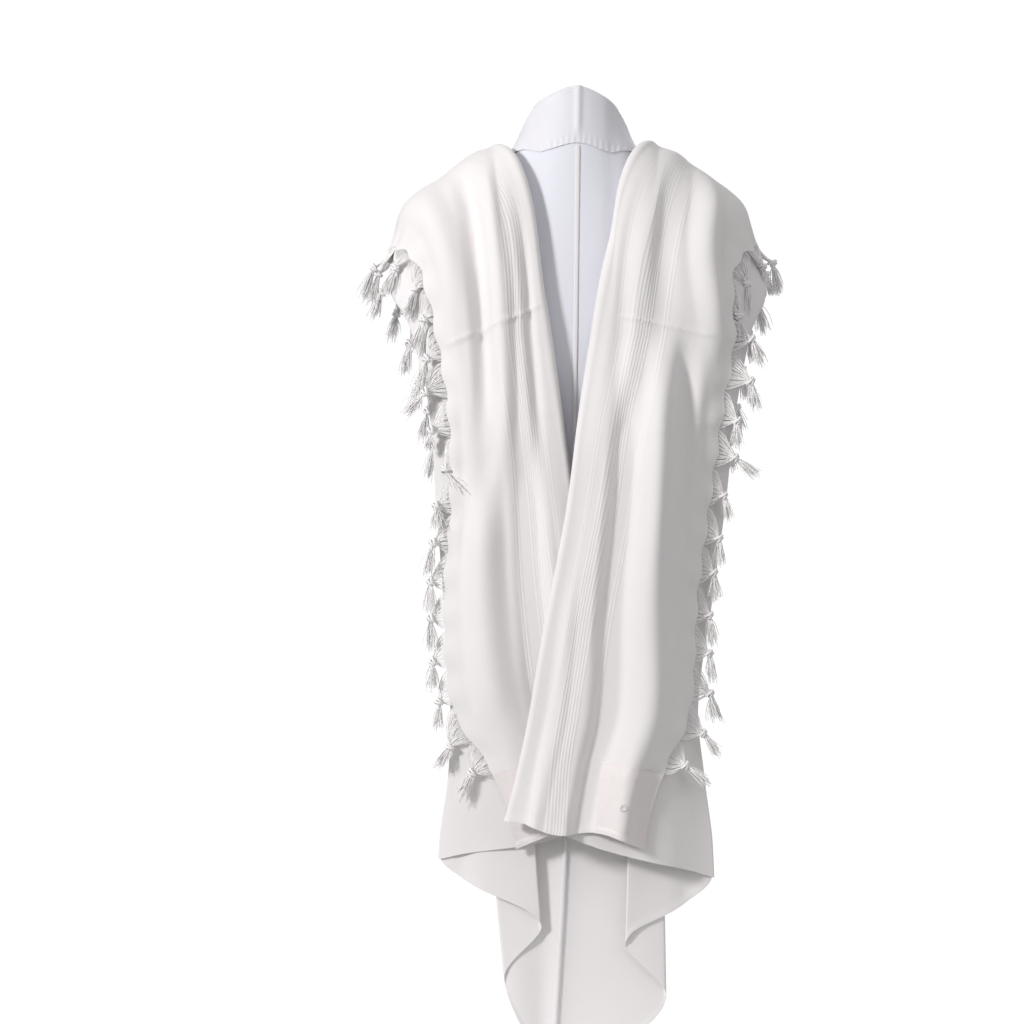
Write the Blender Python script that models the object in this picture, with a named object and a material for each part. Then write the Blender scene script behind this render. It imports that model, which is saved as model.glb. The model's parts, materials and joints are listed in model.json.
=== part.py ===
"""A large white prayer shawl, worn over both shoulders, hollow, with its back towards -Y.

Frame: metres, +Z up, +X to the wearer's right, the wearer facing +Y.  The origin is the middle of
the shoulders at the nape.  The cloth is two halves sewn down the centre back.  Each half runs from
the centre seam out to a hanging outer fold, back under itself to an inner fold beside the neck, and
out again to its fringed short edge.  Every layer passes over the shoulder and hangs in front too.
"""
import bpy
from collections import namedtuple
from math import cos, pi, sin
from mathutils import Vector

# Driving dimensions
WALL = 0.0016          # wall of the wool cloth
GAP = 0.0003           # clearance between pieces
BLADE = 0.30           # fall from the ridge at which the cloth starts to hang plumb
BAND_SHARE = 0.051     # neckband's width as a share of the way down, about 90 mm round the nape
BAND_REACH = 0.185     # how far the neckband runs along the half's path
BAND_WALL = 0.0012
PATCH_SHARE = 0.068    # a patch's height as a share of the way down, about 110 mm
PATCH_COLUMNS = 3      # columns of the wing that a corner patch covers, about 85 mm
PATCH_WALL = 0.0010
SEAM_WIDTH = 0.007     # raised centre seam
SEAM_WALL = 0.0012
FRINGE_REACH = 0.045   # how far the knotted fringe stands from its edge
FRINGE_WALL = 0.006
FRINGE_OUTWARD = 0.45  # shares of its reach that it goes outward and down
FRINGE_DROOP = 0.80

SHARPEST_CORNER = 1.6  # the most that a fold's corner stretches the wall
SHARP_EDGE = 0.7       # radians between facets past which an edge shows

# Sample counts of the cloth grid
SHOULDER_ROWS = 11     # rows from the front patches' lower edge to the shoulder share
HANGING_ROWS = 8       # rows from there to the patches' upper edge
SHOULDER_SHARE = 0.48
FRINGE_ROWS = 18
LINK_COLUMNS = 5
WING_COLUMNS = 9
BEND_COLUMNS = 3

# The figure that carries the cloth: height and depth of the shoulder ridge at a distance from the
# centre, and how far back and forward the cloth hangs there.
Figure = namedtuple("Figure", "out ridge ridge_y back_y front_y")
FIGURE = [
    Figure(-0.037, 0.069, -0.068, -0.140, 0.102),
    Figure(0.000, 0.080, -0.078, -0.140, 0.100),
    Figure(0.037, 0.069, -0.068, -0.140, 0.102),
    Figure(0.060, 0.047, -0.050, -0.139, 0.105),
    Figure(0.095, -0.012, -0.016, -0.137, 0.110),
    Figure(0.140, -0.046, -0.012, -0.132, 0.112),
    Figure(0.190, -0.081, -0.012, -0.122, 0.104),
    Figure(0.225, -0.107, -0.012, -0.111, 0.091),
    Figure(0.250, -0.150, -0.012, -0.100, 0.078),
    Figure(0.280, -0.203, -0.012, -0.088, 0.064),
    Figure(0.330, -0.270, -0.012, -0.072, 0.048),
]

# Where the folds of each half lie at a fall below the ridge (negative in front), as distances from
# the centre plane towards the half's own side.  tuck_far and tuck_near are the two folds of the pleat
# beside the centre: while tuck_far is the smaller, the pleat is still open and the cloth runs flat.
Hang = namedtuple("Hang", "fall tuck_far tuck_near outer inner fringe")
RIGHT_HANG = [
    Hang(-0.60, 0.095, 0.125, 0.200, 0.058, 0.203),
    Hang(-0.40, 0.095, 0.125, 0.222, 0.064, 0.222),
    Hang(-0.30, 0.095, 0.125, 0.240, 0.068, 0.238),
    Hang(-0.12, 0.095, 0.125, 0.270, 0.084, 0.258),
    Hang(0.00, 0.095, 0.125, 0.274, 0.095, 0.256),
    Hang(0.10, 0.090, 0.120, 0.281, 0.066, 0.252),
    Hang(0.20, 0.085, 0.115, 0.279, 0.041, 0.228),
    Hang(0.30, 0.080, 0.110, 0.256, 0.021, 0.226),
    Hang(0.42, 0.080, 0.105, 0.230, 0.002, 0.206),
    Hang(0.55, 0.090, 0.098, 0.215, -0.015, 0.187),
    Hang(0.70, 0.105, 0.090, 0.195, -0.041, 0.169),
    Hang(0.85, 0.116, 0.083, 0.174, -0.066, 0.159),
    Hang(0.95, 0.122, 0.079, 0.184, -0.086, 0.115),
    Hang(1.06, 0.128, 0.075, 0.197, -0.108, 0.092),
    Hang(1.40, 0.134, 0.066, 0.205, -0.125, 0.090),
]
LEFT_HANG = [
    Hang(-0.60, 0.095, 0.125, 0.186, 0.052, 0.186),
    Hang(-0.40, 0.095, 0.125, 0.205, 0.060, 0.205),
    Hang(-0.30, 0.095, 0.125, 0.226, 0.066, 0.224),
    Hang(-0.12, 0.095, 0.125, 0.266, 0.088, 0.262),
    Hang(0.00, 0.095, 0.125, 0.270, 0.102, 0.262),
    Hang(0.10, 0.085, 0.115, 0.275, 0.075, 0.252),
    Hang(0.20, 0.080, 0.110, 0.270, 0.056, 0.224),
    Hang(0.30, 0.075, 0.100, 0.240, 0.038, 0.201),
    Hang(0.42, 0.078, 0.095, 0.213, 0.022, 0.182),
    Hang(0.55, 0.088, 0.090, 0.203, 0.004, 0.180),
    Hang(0.70, 0.100, 0.082, 0.192, -0.022, 0.190),
    Hang(0.85, 0.113, 0.074, 0.183, -0.048, 0.177),
    Hang(0.95, 0.120, 0.069, 0.186, -0.068, 0.119),
    Hang(1.06, 0.124, 0.061, 0.199, -0.088, 0.088),
    Hang(1.40, 0.092, 0.036, 0.205, -0.105, 0.085),
]

# The two long edges of each half along its path (0 at the centre seam, 1 at the fringe): how far
# below the ridge the hem ends at the back, and how far the top edge has gone over to the front.
Edge = namedtuple("Edge", "path hem top")
RIGHT_EDGE = [
    Edge(0.00, 1.370, 0.000),
    Edge(0.06, 1.355, 0.000),
    Edge(0.12, 1.280, 0.020),
    Edge(0.18, 1.200, 0.110),
    Edge(0.26, 1.155, 0.270),
    Edge(0.34, 1.103, 0.410),
    Edge(0.50, 1.058, 0.400),
    Edge(0.66, 1.012, 0.370),
    Edge(0.75, 1.030, 0.405),
    Edge(0.88, 1.029, 0.470),
    Edge(1.00, 1.054, 0.560),
]
LEFT_EDGE = [
    Edge(0.00, 1.370, 0.000),
    Edge(0.06, 1.350, 0.000),
    Edge(0.12, 1.255, 0.020),
    Edge(0.18, 1.176, 0.120),
    Edge(0.26, 1.125, 0.280),
    Edge(0.34, 1.076, 0.430),
    Edge(0.50, 1.050, 0.415),
    Edge(0.66, 1.012, 0.390),
    Edge(0.75, 1.026, 0.425),
    Edge(0.88, 1.034, 0.490),
    Edge(1.00, 1.057, 0.575),
]

# The centre seam swings a little to the wearer's left as it falls.
Seam = namedtuple("Seam", "fall x")
SEAM = [Seam(0.0, 0.004), Seam(0.30, -0.002), Seam(0.70, -0.006), Seam(1.06, -0.017), Seam(1.40, -0.037)]

# The main folds on each wing: where a fold starts and ends across the wing (0 inner fold, 1 fringe),
# its half width, how far it stands out (negative is a trough), and the falls between which it runs.
Fold = namedtuple("Fold", "start_across end_across spread rise start end")
RIGHT_FOLDS = [
    Fold(0.62, 0.98, 0.20, 0.014, 0.02, 0.33),
    Fold(0.42, 0.52, 0.14, -0.006, 0.08, 0.34),
    Fold(0.20, 0.55, 0.16, -0.010, 0.36, 1.20),
    Fold(0.40, 0.84, 0.16, 0.010, 0.30, 1.20),
    Fold(0.62, 0.97, 0.14, -0.010, 0.26, 0.90),
    Fold(0.45, 0.45, 0.16, 0.010, -0.60, -0.08),
    Fold(0.72, 0.78, 0.13, -0.010, -0.60, -0.10),
]
LEFT_FOLDS = [
    Fold(0.70, 0.72, 0.16, 0.012, 0.02, 0.34),
    Fold(0.48, 0.86, 0.13, -0.012, 0.05, 0.46),
    Fold(0.30, 0.70, 0.14, 0.011, 0.08, 0.52),
    Fold(0.42, 0.55, 0.18, -0.007, 0.46, 0.92),
    Fold(0.80, 0.76, 0.16, 0.005, 0.55, 1.20),
    Fold(0.40, 0.42, 0.15, 0.010, -0.60, -0.08),
    Fold(0.68, 0.70, 0.13, -0.011, -0.60, -0.10),
]

# Stand-off of the layers from the figure
FIRST_LAYER = 0.003
PLEAT_STEP = 0.007     # each of the pleat's two turns
SHOULDER_STEP = 0.011  # from layer to layer over the shoulder
HANGING_STEP = 0.006   # from layer to layer lower down
ROLL_STEP = 0.007      # what the rolled inner fold adds
FULLNESS = 0.012       # the wing's middle stands out further, which leaves room for its troughs
CROSS_LIFT = 0.028     # the right wing clears the left one where they cross
OUTER_PATH = 0.34      # path share at the outer fold
INNER_PATH = 0.66      # path share at the inner fold
FAR_PATH = 0.12        # path share at the pleat's two folds
NEAR_PATH = 0.18
TURN_PATH = 0.009      # half the path that one turn of the pleat takes

# Columns of the back stretch along the path, closer together at the pleat's turns
BACK_PATHS = [0.0, 0.03, 0.06, 0.09, FAR_PATH - TURN_PATH, FAR_PATH, (FAR_PATH + NEAR_PATH) / 2,
              NEAR_PATH, NEAR_PATH + TURN_PATH, 0.22, 0.26, 0.30, 0.325, OUTER_PATH]

Half = namedtuple("Half", "name sign hang edge folds lift low_fullness")
RIGHT = Half("right", 1, RIGHT_HANG, RIGHT_EDGE, RIGHT_FOLDS, CROSS_LIFT, FULLNESS)
LEFT = Half("left", -1, LEFT_HANG, LEFT_EDGE, LEFT_FOLDS, 0.0, FULLNESS / 2)


def smooth(low, high, at):
    """0 below low, 1 above high, eased between."""
    part = min(max((at - low) / (high - low), 0.0), 1.0)
    return part * part * (3 - 2 * part)


def read(rows, column, at):
    """A table's column at a value of its first column, on a smooth curve through the rows."""
    keys = [row[0] for row in rows]
    values = [getattr(row, column) for row in rows]
    at = min(max(at, keys[0]), keys[-1])
    i = max(k for k in range(len(keys) - 1) if keys[k] <= at)

    def slope(k):
        low, high = max(k - 1, 0), min(k + 1, len(keys) - 1)
        return (values[high] - values[low]) / (keys[high] - keys[low])

    span = keys[i + 1] - keys[i]
    part = (at - keys[i]) / span
    rise = part * part * (3 - 2 * part)
    start_bend = part * (1 - part) ** 2 * span
    end_bend = part * part * (part - 1) * span
    return values[i] + (values[i + 1] - values[i]) * rise + slope(i) * start_bend + slope(i + 1) * end_bend


def figure_point(x, fall):
    """The carried surface: over the nape near the centre, over the shoulder further out."""
    out = abs(x)
    ridge, ridge_y = read(FIGURE, "ridge", out), read(FIGURE, "ridge_y", out)
    plane = read(FIGURE, "back_y" if fall >= 0 else "front_y", out)
    part = min(abs(fall) / BLADE, 1.0)
    height = ridge + BLADE
    arch = Vector((x, ridge_y + (plane - ridge_y) * sin(part * pi / 2), ridge - height * (1 - cos(part * pi / 2))))
    nape = Vector((x, plane + (ridge_y - plane) * (1 - part) ** 1.6, ridge - height * part))
    point = nape.lerp(arch, smooth(0.045, 0.100, out))
    point.z -= max(abs(fall) - BLADE, 0.0)
    return point


def stand_off(x, fall, distance):
    """A point at a distance outside the figure, measured square to its back or its front."""
    step = 0.004
    high, low = (max(fall - step, 0.0), fall + step) if fall >= 0 else (fall - step, min(fall + step, 0.0))
    across = figure_point(x + step, fall) - figure_point(x - step, fall)
    down = figure_point(x, low) - figure_point(x, high)
    return figure_point(x, fall) + across.cross(down).normalized() * -distance


def pleat_step(fall):
    """The pleat opens out towards the hem."""
    return PLEAT_STEP * smooth(0.28, 0.52, fall)


def layer_step(fall):
    """Layers lie further apart over the shoulder than where they hang."""
    return SHOULDER_STEP + (HANGING_STEP - SHOULDER_STEP) * smooth(0.32, 0.50, abs(fall))


def layers(half, fall, place):
    """Stand-off of the link and of the wing at a place across, towards the half's own side."""
    lift = half.lift * smooth(0.28, 0.50, fall) * (1 - smooth(0.105, 0.190, place))
    inner, outer = read(half.hang, "inner", fall), read(half.hang, "outer", fall)
    near_roll = 1 - smooth(0.0, 0.45, (place - inner) / (outer - inner))
    link = FIRST_LAYER + 2 * pleat_step(fall) + layer_step(fall) + lift
    return link, link + layer_step(fall) + ROLL_STEP * near_roll


def back_layer(half, fall, path):
    """Place and stand-off of the back layer, from the centre seam to the outer fold."""
    seam = half.sign * read(SEAM, "x", fall) + GAP
    far, near = read(half.hang, "tuck_far", fall), read(half.hang, "tuck_near", fall)
    outer = read(half.hang, "outer", fall)
    link, _ = layers(half, fall, outer)
    pleat = pleat_step(fall)
    bend = (link - FIRST_LAYER - 2 * pleat) / 2
    folded = smooth(-0.01, 0.02, far - near)
    stops = [(0.0, seam), (FAR_PATH, far), (NEAR_PATH, near), (OUTER_PATH, outer - bend)]
    for (low, start), (high, end) in zip(stops, stops[1:]):
        if path <= high:
            part = (path - low) / (high - low)
            eased = part + folded * (smooth(0, 1, part) - part)
            place = start + (end - start) * eased
            break
    turns = sum(smooth(turn - TURN_PATH, turn + TURN_PATH, path) for turn in (FAR_PATH, NEAR_PATH))
    return place, FIRST_LAYER + pleat * turns


def bend_points(centre_x, radius, middle, direction):
    """The half circle of a fold, without its ends."""
    angles = [pi * (k + 1) / (BEND_COLUMNS + 1) - pi / 2 for k in range(BEND_COLUMNS)]
    return [(centre_x + direction * radius * cos(a), middle + radius * sin(a)) for a in angles]


def fold_rise(half, across, fall):
    """How far the wing's own folds lift it."""
    total = 0.0
    for fold in half.folds:
        along = min(max((fall - fold.start) / (fold.end - fold.start), 0.0), 1.0)
        middle = fold.start_across + (fold.end_across - fold.start_across) * along
        near = max(0.0, 1 - ((across - middle) / fold.spread) ** 2)
        total += fold.rise * near * near * smooth(fold.start, fold.start + 0.14, fall) \
            * (1 - smooth(fold.end - 0.14, fold.end, fall))
    return total


def wing_layer(half, fall, across):
    """Place and stand-off of the wing, from the inner fold (0) to the fringed edge (1)."""
    inner, fringe = read(half.hang, "inner", fall), read(half.hang, "fringe", fall)
    link, wing = layers(half, fall, inner)
    start = inner + (wing - link) / 2
    place = start + (fringe - start) * across
    fullness = FULLNESS + (half.low_fullness - FULLNESS) * smooth(0.40, 0.55, fall)
    fullness *= smooth(0.0, 0.3, across) * (1 - smooth(0.8, 1.0, across))
    return place, layers(half, fall, place)[1] + fullness + fold_rise(half, across, fall)


def link_layer(half, fall, part):
    """Place and stand-off of the link, from the outer fold (0) to the inner fold (1)."""
    inner, outer = read(half.hang, "inner", fall), read(half.hang, "outer", fall)
    link, _ = layers(half, fall, outer)
    start = outer - (link - FIRST_LAYER - 2 * pleat_step(fall)) / 2
    low, high = layers(half, fall, inner)
    place = start + (inner + (high - low) / 2 - start) * part
    return place, layers(half, fall, place)[0]


def section(half, fall, column):
    """Place and stand-off of one column of the cloth at a fall below the ridge."""
    kind, part = column
    if kind == "back":
        return back_layer(half, fall, part)
    if kind == "link":
        return link_layer(half, fall, part)
    if kind == "wing":
        return wing_layer(half, fall, part)
    if kind == "outer bend":
        place, low = back_layer(half, fall, OUTER_PATH)
        high = link_layer(half, fall, 0.0)[1]
        return bend_points(place, (high - low) / 2, (high + low) / 2, 1)[part]
    place, low = link_layer(half, fall, 1.0)
    high = wing_layer(half, fall, 0.0)[1]
    return bend_points(place, (high - low) / 2, (high + low) / 2, -1)[part]


def path_of(column):
    """Path share of a column, which sets where its two ends lie."""
    kind, part = column
    if kind == "back":
        return part
    if kind == "link":
        return OUTER_PATH + part * (INNER_PATH - OUTER_PATH)
    if kind == "wing":
        return INNER_PATH + part * (1 - INNER_PATH)
    return OUTER_PATH if kind == "outer bend" else INNER_PATH


def cloth_point(half, column, down):
    """A point of the cloth: down is 0 at the top edge and 1 at the hem."""
    path = path_of(column)
    top, hem = read(half.edge, "top", path), read(half.edge, "hem", path)
    fall = -top + down * (top + hem)
    place, distance = section(half, fall, column)
    return stand_off(half.sign * place, fall, distance)


def spread(count, start=0.0, end=1.0):
    """Evenly spaced shares from start to end."""
    return [start + (end - start) * k / (count - 1) for k in range(count)]


BAND_ROWS = spread(3, 0.0, BAND_SHARE)
TOP_ROWS = BAND_ROWS + [PATCH_SHARE]
HEM_ROWS = spread(3, 1 - PATCH_SHARE, 1.0)
ROW_SHARES = TOP_ROWS + spread(SHOULDER_ROWS + 1, PATCH_SHARE, SHOULDER_SHARE)[1:] \
    + spread(HANGING_ROWS + 1, SHOULDER_SHARE, 1 - PATCH_SHARE)[1:] + HEM_ROWS[1:]


def material(name, colour, roughness):
    """A matte cloth finish."""
    finish = bpy.data.materials.new(name)
    finish.use_nodes = True
    shader = finish.node_tree.nodes["Principled BSDF"]
    shader.inputs["Base Color"].default_value = (*colour, 1.0)
    shader.inputs["Roughness"].default_value = roughness
    shader.inputs["Metallic"].default_value = 0.0
    return finish


def skin_normals(points, faces):
    """For each point, the direction and length that move the facets round it out by one unit."""
    around = [[] for _ in points]
    for face in faces:
        a, b, c = [points[k] for k in face]
        normal = (b - a).cross(c - a).normalized()
        for k in face:
            around[k].append(normal)
    moves = []
    for normals in around:
        mean = sum(normals, Vector()).normalized()
        lean = sum(mean.dot(normal) for normal in normals) / len(normals)
        moves.append(mean * min(1 / max(lean, 0.1), SHARPEST_CORNER))
    return moves


def add_sheet(name, grid, wall, finish, lies_on=None):
    """A closed wall around a grid of points: rows run down, columns run across.

    A sheet that lies on another wall is moved out to its face, with a small gap between them.
    """
    rows, columns = len(grid), len(grid[0])
    points = [point for row in grid for point in row]
    faces = []
    for r in range(rows - 1):
        for c in range(columns - 1):
            a = r * columns + c
            faces += [(a, a + columns, a + 1), (a + 1, a + columns, a + columns + 1)]
    moves = skin_normals(points, faces)
    raised = 0.0 if lies_on is None else (lies_on + wall) / 2 + 2 * GAP
    outer = [point + move * (raised + wall / 2) for point, move in zip(points, moves)]
    inner = [point + move * (raised - wall / 2) for point, move in zip(points, moves)]
    count = len(points)
    rim = list(range(columns)) + [r * columns + columns - 1 for r in range(1, rows)]
    rim += [(rows - 1) * columns + c for c in range(columns - 2, -1, -1)]
    rim += [r * columns for r in range(rows - 2, 0, -1)]
    skins = faces + [tuple(count + k for k in face[::-1]) for face in faces]
    for here, following in zip(rim, rim[1:] + rim[:1]):
        skins += [(here, following, count + following), (here, count + following, count + here)]
    mesh = bpy.data.meshes.new(name)
    mesh.from_pydata([tuple(point) for point in outer + inner], [], skins)
    mesh.materials.append(finish)
    mesh.shade_smooth()
    mesh.set_sharp_from_angle(angle=SHARP_EDGE)
    sheet = bpy.data.objects.new(name, mesh)
    bpy.context.collection.objects.link(sheet)


def cloth_grid(half, columns):
    """The grid of a stretch of cloth, its columns ordered so that both halves face outwards."""
    ordered = columns if half.sign > 0 else columns[::-1]
    return [[cloth_point(half, column, down) for column in ordered] for down in ROW_SHARES]


def add_half(half, finish):
    """The back stretch with its outer fold, and the wing with its inner fold."""
    middle = 0.5
    link_width = 0.21
    apart = 1.5 * GAP / link_width
    back = [("back", path) for path in BACK_PATHS]
    back += [("outer bend", k) for k in range(BEND_COLUMNS)]
    back += [("link", part) for part in spread(LINK_COLUMNS, 0.0, middle - apart)]
    wing = [("link", part) for part in spread(LINK_COLUMNS, middle + apart, 1.0)]
    wing += [("inner bend", k) for k in range(BEND_COLUMNS)]
    wing += [("wing", part) for part in spread(WING_COLUMNS)]
    add_sheet(f"half_{half.name}_back", cloth_grid(half, back), WALL, finish)
    add_sheet(f"half_{half.name}_wing", cloth_grid(half, wing), WALL, finish)


def add_neckband(finish):
    """One band over both halves, along the top edge round the nape and over both shoulders."""
    columns = [("back", path) for path in BACK_PATHS if path < BAND_REACH]
    turns = [(LEFT, column) for column in columns[:0:-1]] + [(RIGHT, column) for column in columns]
    grid = [[cloth_point(half, column, down) for half, column in turns] for down in BAND_ROWS]
    add_sheet("neckband", grid, BAND_WALL, finish, lies_on=WALL)


def add_seam(finish):
    """The raised felled seam down the centre back, below the neckband."""
    below_band = 0.002
    downs = [BAND_SHARE + below_band] + [share for share in ROW_SHARES if share > BAND_SHARE]
    columns = [("back", path) for path in BACK_PATHS[:2]]
    grid = []
    for down in downs:
        middle = cloth_point(RIGHT, columns[0], down).lerp(cloth_point(LEFT, columns[0], down), 0.5)
        sides = [cloth_point(half, columns[1], down) for half in (LEFT, RIGHT)]
        left, right = [middle.lerp(side, SEAM_WIDTH / 2 / (side - middle).length) for side in sides]
        grid.append([left, middle, right])
    add_sheet("centre_seam", grid, SEAM_WALL, finish, lies_on=WALL)


def add_patches(half, finish):
    """A piece of backing cloth on each of the half's two corners, on the outer face."""
    columns = [("wing", 1 - k / (WING_COLUMNS - 1)) for k in range(PATCH_COLUMNS, -1, -1)]
    ordered = columns if half.sign > 0 else columns[::-1]
    for name, downs in (("back", HEM_ROWS), ("front", TOP_ROWS)):
        grid = [[cloth_point(half, column, down) for column in ordered] for down in downs]
        add_sheet(f"patch_{half.name}_{name}", grid, PATCH_WALL, finish, lies_on=WALL)


def add_fringe(half, finish):
    """The plain reach of the knotted fringe, which droops from the short edge between the patches."""
    edge = ("wing", 1.0)
    top, hem = read(half.edge, "top", 1.0), read(half.edge, "hem", 1.0)
    patch = PATCH_SHARE * (top + hem)
    first, last = patch - top, hem - patch
    root = FRINGE_WALL
    grid = []
    for fall in spread(FRINGE_ROWS, first, last):
        place, distance = section(half, fall, edge)
        row = []
        for share in (0.0, 0.35, 1.0):
            reach = root + share * FRINGE_REACH * FRINGE_OUTWARD
            droop = share * FRINGE_REACH * FRINGE_DROOP * (1 if fall > 0 else -1)
            row.append(stand_off(half.sign * (place + reach), fall + droop, distance + share * 0.006))
        grid.append(row if half.sign > 0 else row[::-1])
    add_sheet(f"fringe_{half.name}", grid, FRINGE_WALL, finish)


def main():
    for item in list(bpy.data.objects):
        bpy.data.objects.remove(item, do_unlink=True)
    wool = material("white_wool", (0.86, 0.84, 0.82), 0.75)
    satin = material("band_satin", (0.86, 0.86, 0.90), 0.45)
    backing = material("patch_satin", (0.82, 0.77, 0.75), 0.50)
    thread = material("fringe_thread", (0.90, 0.88, 0.85), 0.70)
    for half in (LEFT, RIGHT):
        add_half(half, wool)
        add_patches(half, backing)
        add_fringe(half, thread)
    add_neckband(satin)
    add_seam(wool)


main()
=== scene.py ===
# %% [markdown]
# # A white wool prayer shawl, draped over both shoulders
#
# The shawl is a wide rectangle of wool: two halves sewn together down the centre back. A satin
# band finishes the top edge, where it lies round the nape. Ribbed stripes run beside each short
# edge, whose threads are knotted into a fringe, and a satin patch strengthens each corner. This
# lesson drapes the cloth with plain functions, so that every sewn piece can follow the same folds.

import json
from collections import namedtuple
from math import cos, pi, radians, sin

import bpy
import numpy as np
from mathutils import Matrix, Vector


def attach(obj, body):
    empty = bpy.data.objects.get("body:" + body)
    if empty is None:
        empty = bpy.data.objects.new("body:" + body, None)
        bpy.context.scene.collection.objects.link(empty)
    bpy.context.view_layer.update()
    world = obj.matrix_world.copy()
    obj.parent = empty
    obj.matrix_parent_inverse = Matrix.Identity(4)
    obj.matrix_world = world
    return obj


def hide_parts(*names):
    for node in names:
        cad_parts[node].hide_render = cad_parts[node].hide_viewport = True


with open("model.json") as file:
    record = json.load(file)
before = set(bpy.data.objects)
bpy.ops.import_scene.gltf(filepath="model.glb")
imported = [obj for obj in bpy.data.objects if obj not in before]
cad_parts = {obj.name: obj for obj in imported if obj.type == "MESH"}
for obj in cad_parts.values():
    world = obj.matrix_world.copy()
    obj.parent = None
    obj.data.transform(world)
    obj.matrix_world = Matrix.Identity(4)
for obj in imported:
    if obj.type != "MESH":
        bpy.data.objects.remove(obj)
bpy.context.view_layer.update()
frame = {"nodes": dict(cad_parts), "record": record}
record = frame["record"]
rest = Vector(record["mounts"][0]["pos_m"])
print("nodes:", ", ".join(sorted(frame["nodes"])))
print("the shawl rests on the shoulders round", tuple(rest))

# %% [markdown]
# ## Camera and light
#
# White cloth on a white ground is drawn by shade alone, so the light does most of the work. A
# strong lamp high on the left makes the folds read, and a weak, broad one on the right opens
# their shadows. The world gives less light from below than from above, and shows itself white to
# the camera. The camera stands behind the shawl, far enough back that sides stay nearly parallel.

# %% Camera
VIEW_WIDTH = 1.5155        # metres across the view, at the cloth
VIEW_CENTRE = (-0.096, -0.561)
CLOTH_Y = -0.15
CAMERA_Y = -3.6
SENSOR = 36.0

camera_data = bpy.data.cameras.new("camera")
camera_data.sensor_width = SENSOR
camera_data.lens = SENSOR * (CLOTH_Y - CAMERA_Y) / VIEW_WIDTH
camera = bpy.data.objects.new("camera", camera_data)
camera.location = rest + Vector((VIEW_CENTRE[0], CAMERA_Y, VIEW_CENTRE[1]))
camera.rotation_euler = (radians(90), 0, 0)
bpy.context.scene.collection.objects.link(camera)
bpy.context.scene.camera = camera
print("lens", round(camera_data.lens, 1), "mm")

# %% Lights and ground
GROUND_WHITE = 1.05        # how bright the camera sees the world
SKY_BELOW, SKY_ABOVE = 0.22, 0.57
SKY_SOFTNESS = 0.7         # height on the world's unit ball at which each is reached
Lamp = namedtuple("Lamp", "name place size power colour")
LAMPS = [
    Lamp("key", (-2.70, -2.50, 0.7), 0.6, 95.0, (1.0, 0.984, 0.982)),
    Lamp("fill", (2.6, -2.6, 0.0), 2.4, 10.0, (0.98, 0.98, 1.0)),
    Lamp("front", (0.3, 2.6, 0.9), 2.0, 20.0, (1.0, 1.0, 1.0)),
]
AIM = Vector((0.0, -0.10, -0.50))
for lamp in LAMPS:
    light = bpy.data.lights.new(lamp.name, "AREA")
    light.shape = "DISK"
    light.size = lamp.size
    light.energy = lamp.power
    light.color = lamp.colour
    holder = bpy.data.objects.new(lamp.name, light)
    holder.location = lamp.place
    holder.rotation_euler = (AIM - Vector(lamp.place)).to_track_quat("-Z", "Y").to_euler()
    bpy.context.scene.collection.objects.link(holder)

bpy.context.scene.view_settings.view_transform = "Standard"
world = bpy.data.worlds.new("studio")
bpy.context.scene.world = world
world.use_nodes = True
links = world.node_tree.links
nodes = world.node_tree.nodes
ground = nodes.new("ShaderNodeBackground")
ground.inputs["Color"].default_value = (1.0, 1.0, 1.0, 1.0)
ground.inputs["Strength"].default_value = GROUND_WHITE
sky = nodes["Background"]
sky.inputs["Color"].default_value = (1.0, 0.985, 0.985, 1.0)
ray = nodes.new("ShaderNodeLightPath")
either = nodes.new("ShaderNodeMixShader")
toward = nodes.new("ShaderNodeTexCoord")
height = nodes.new("ShaderNodeSeparateXYZ")
sky_light = nodes.new("ShaderNodeMapRange")
for name, value in (("From Min", -SKY_SOFTNESS), ("From Max", SKY_SOFTNESS),
                    ("To Min", SKY_BELOW), ("To Max", SKY_ABOVE)):
    sky_light.inputs[name].default_value = value
links.new(toward.outputs["Generated"], height.inputs[0])
links.new(height.outputs["Z"], sky_light.inputs["Value"])
links.new(sky_light.outputs[0], sky.inputs["Strength"])
links.new(ray.outputs["Is Camera Ray"], either.inputs["Fac"])
links.new(sky.outputs[0], either.inputs[1])
links.new(ground.outputs[0], either.inputs[2])
links.new(either.outputs[0], nodes["World Output"].inputs["Surface"])
print("lamps:", ", ".join(f"{lamp.name} {lamp.power:g} W" for lamp in LAMPS))

# %% [markdown]
# ## Maths for the materials
#
# A material's pattern is arithmetic on coordinates. Wrapping a socket in a small class lets that
# arithmetic be written as Python: each operator adds one Math node and hands back its output.

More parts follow.
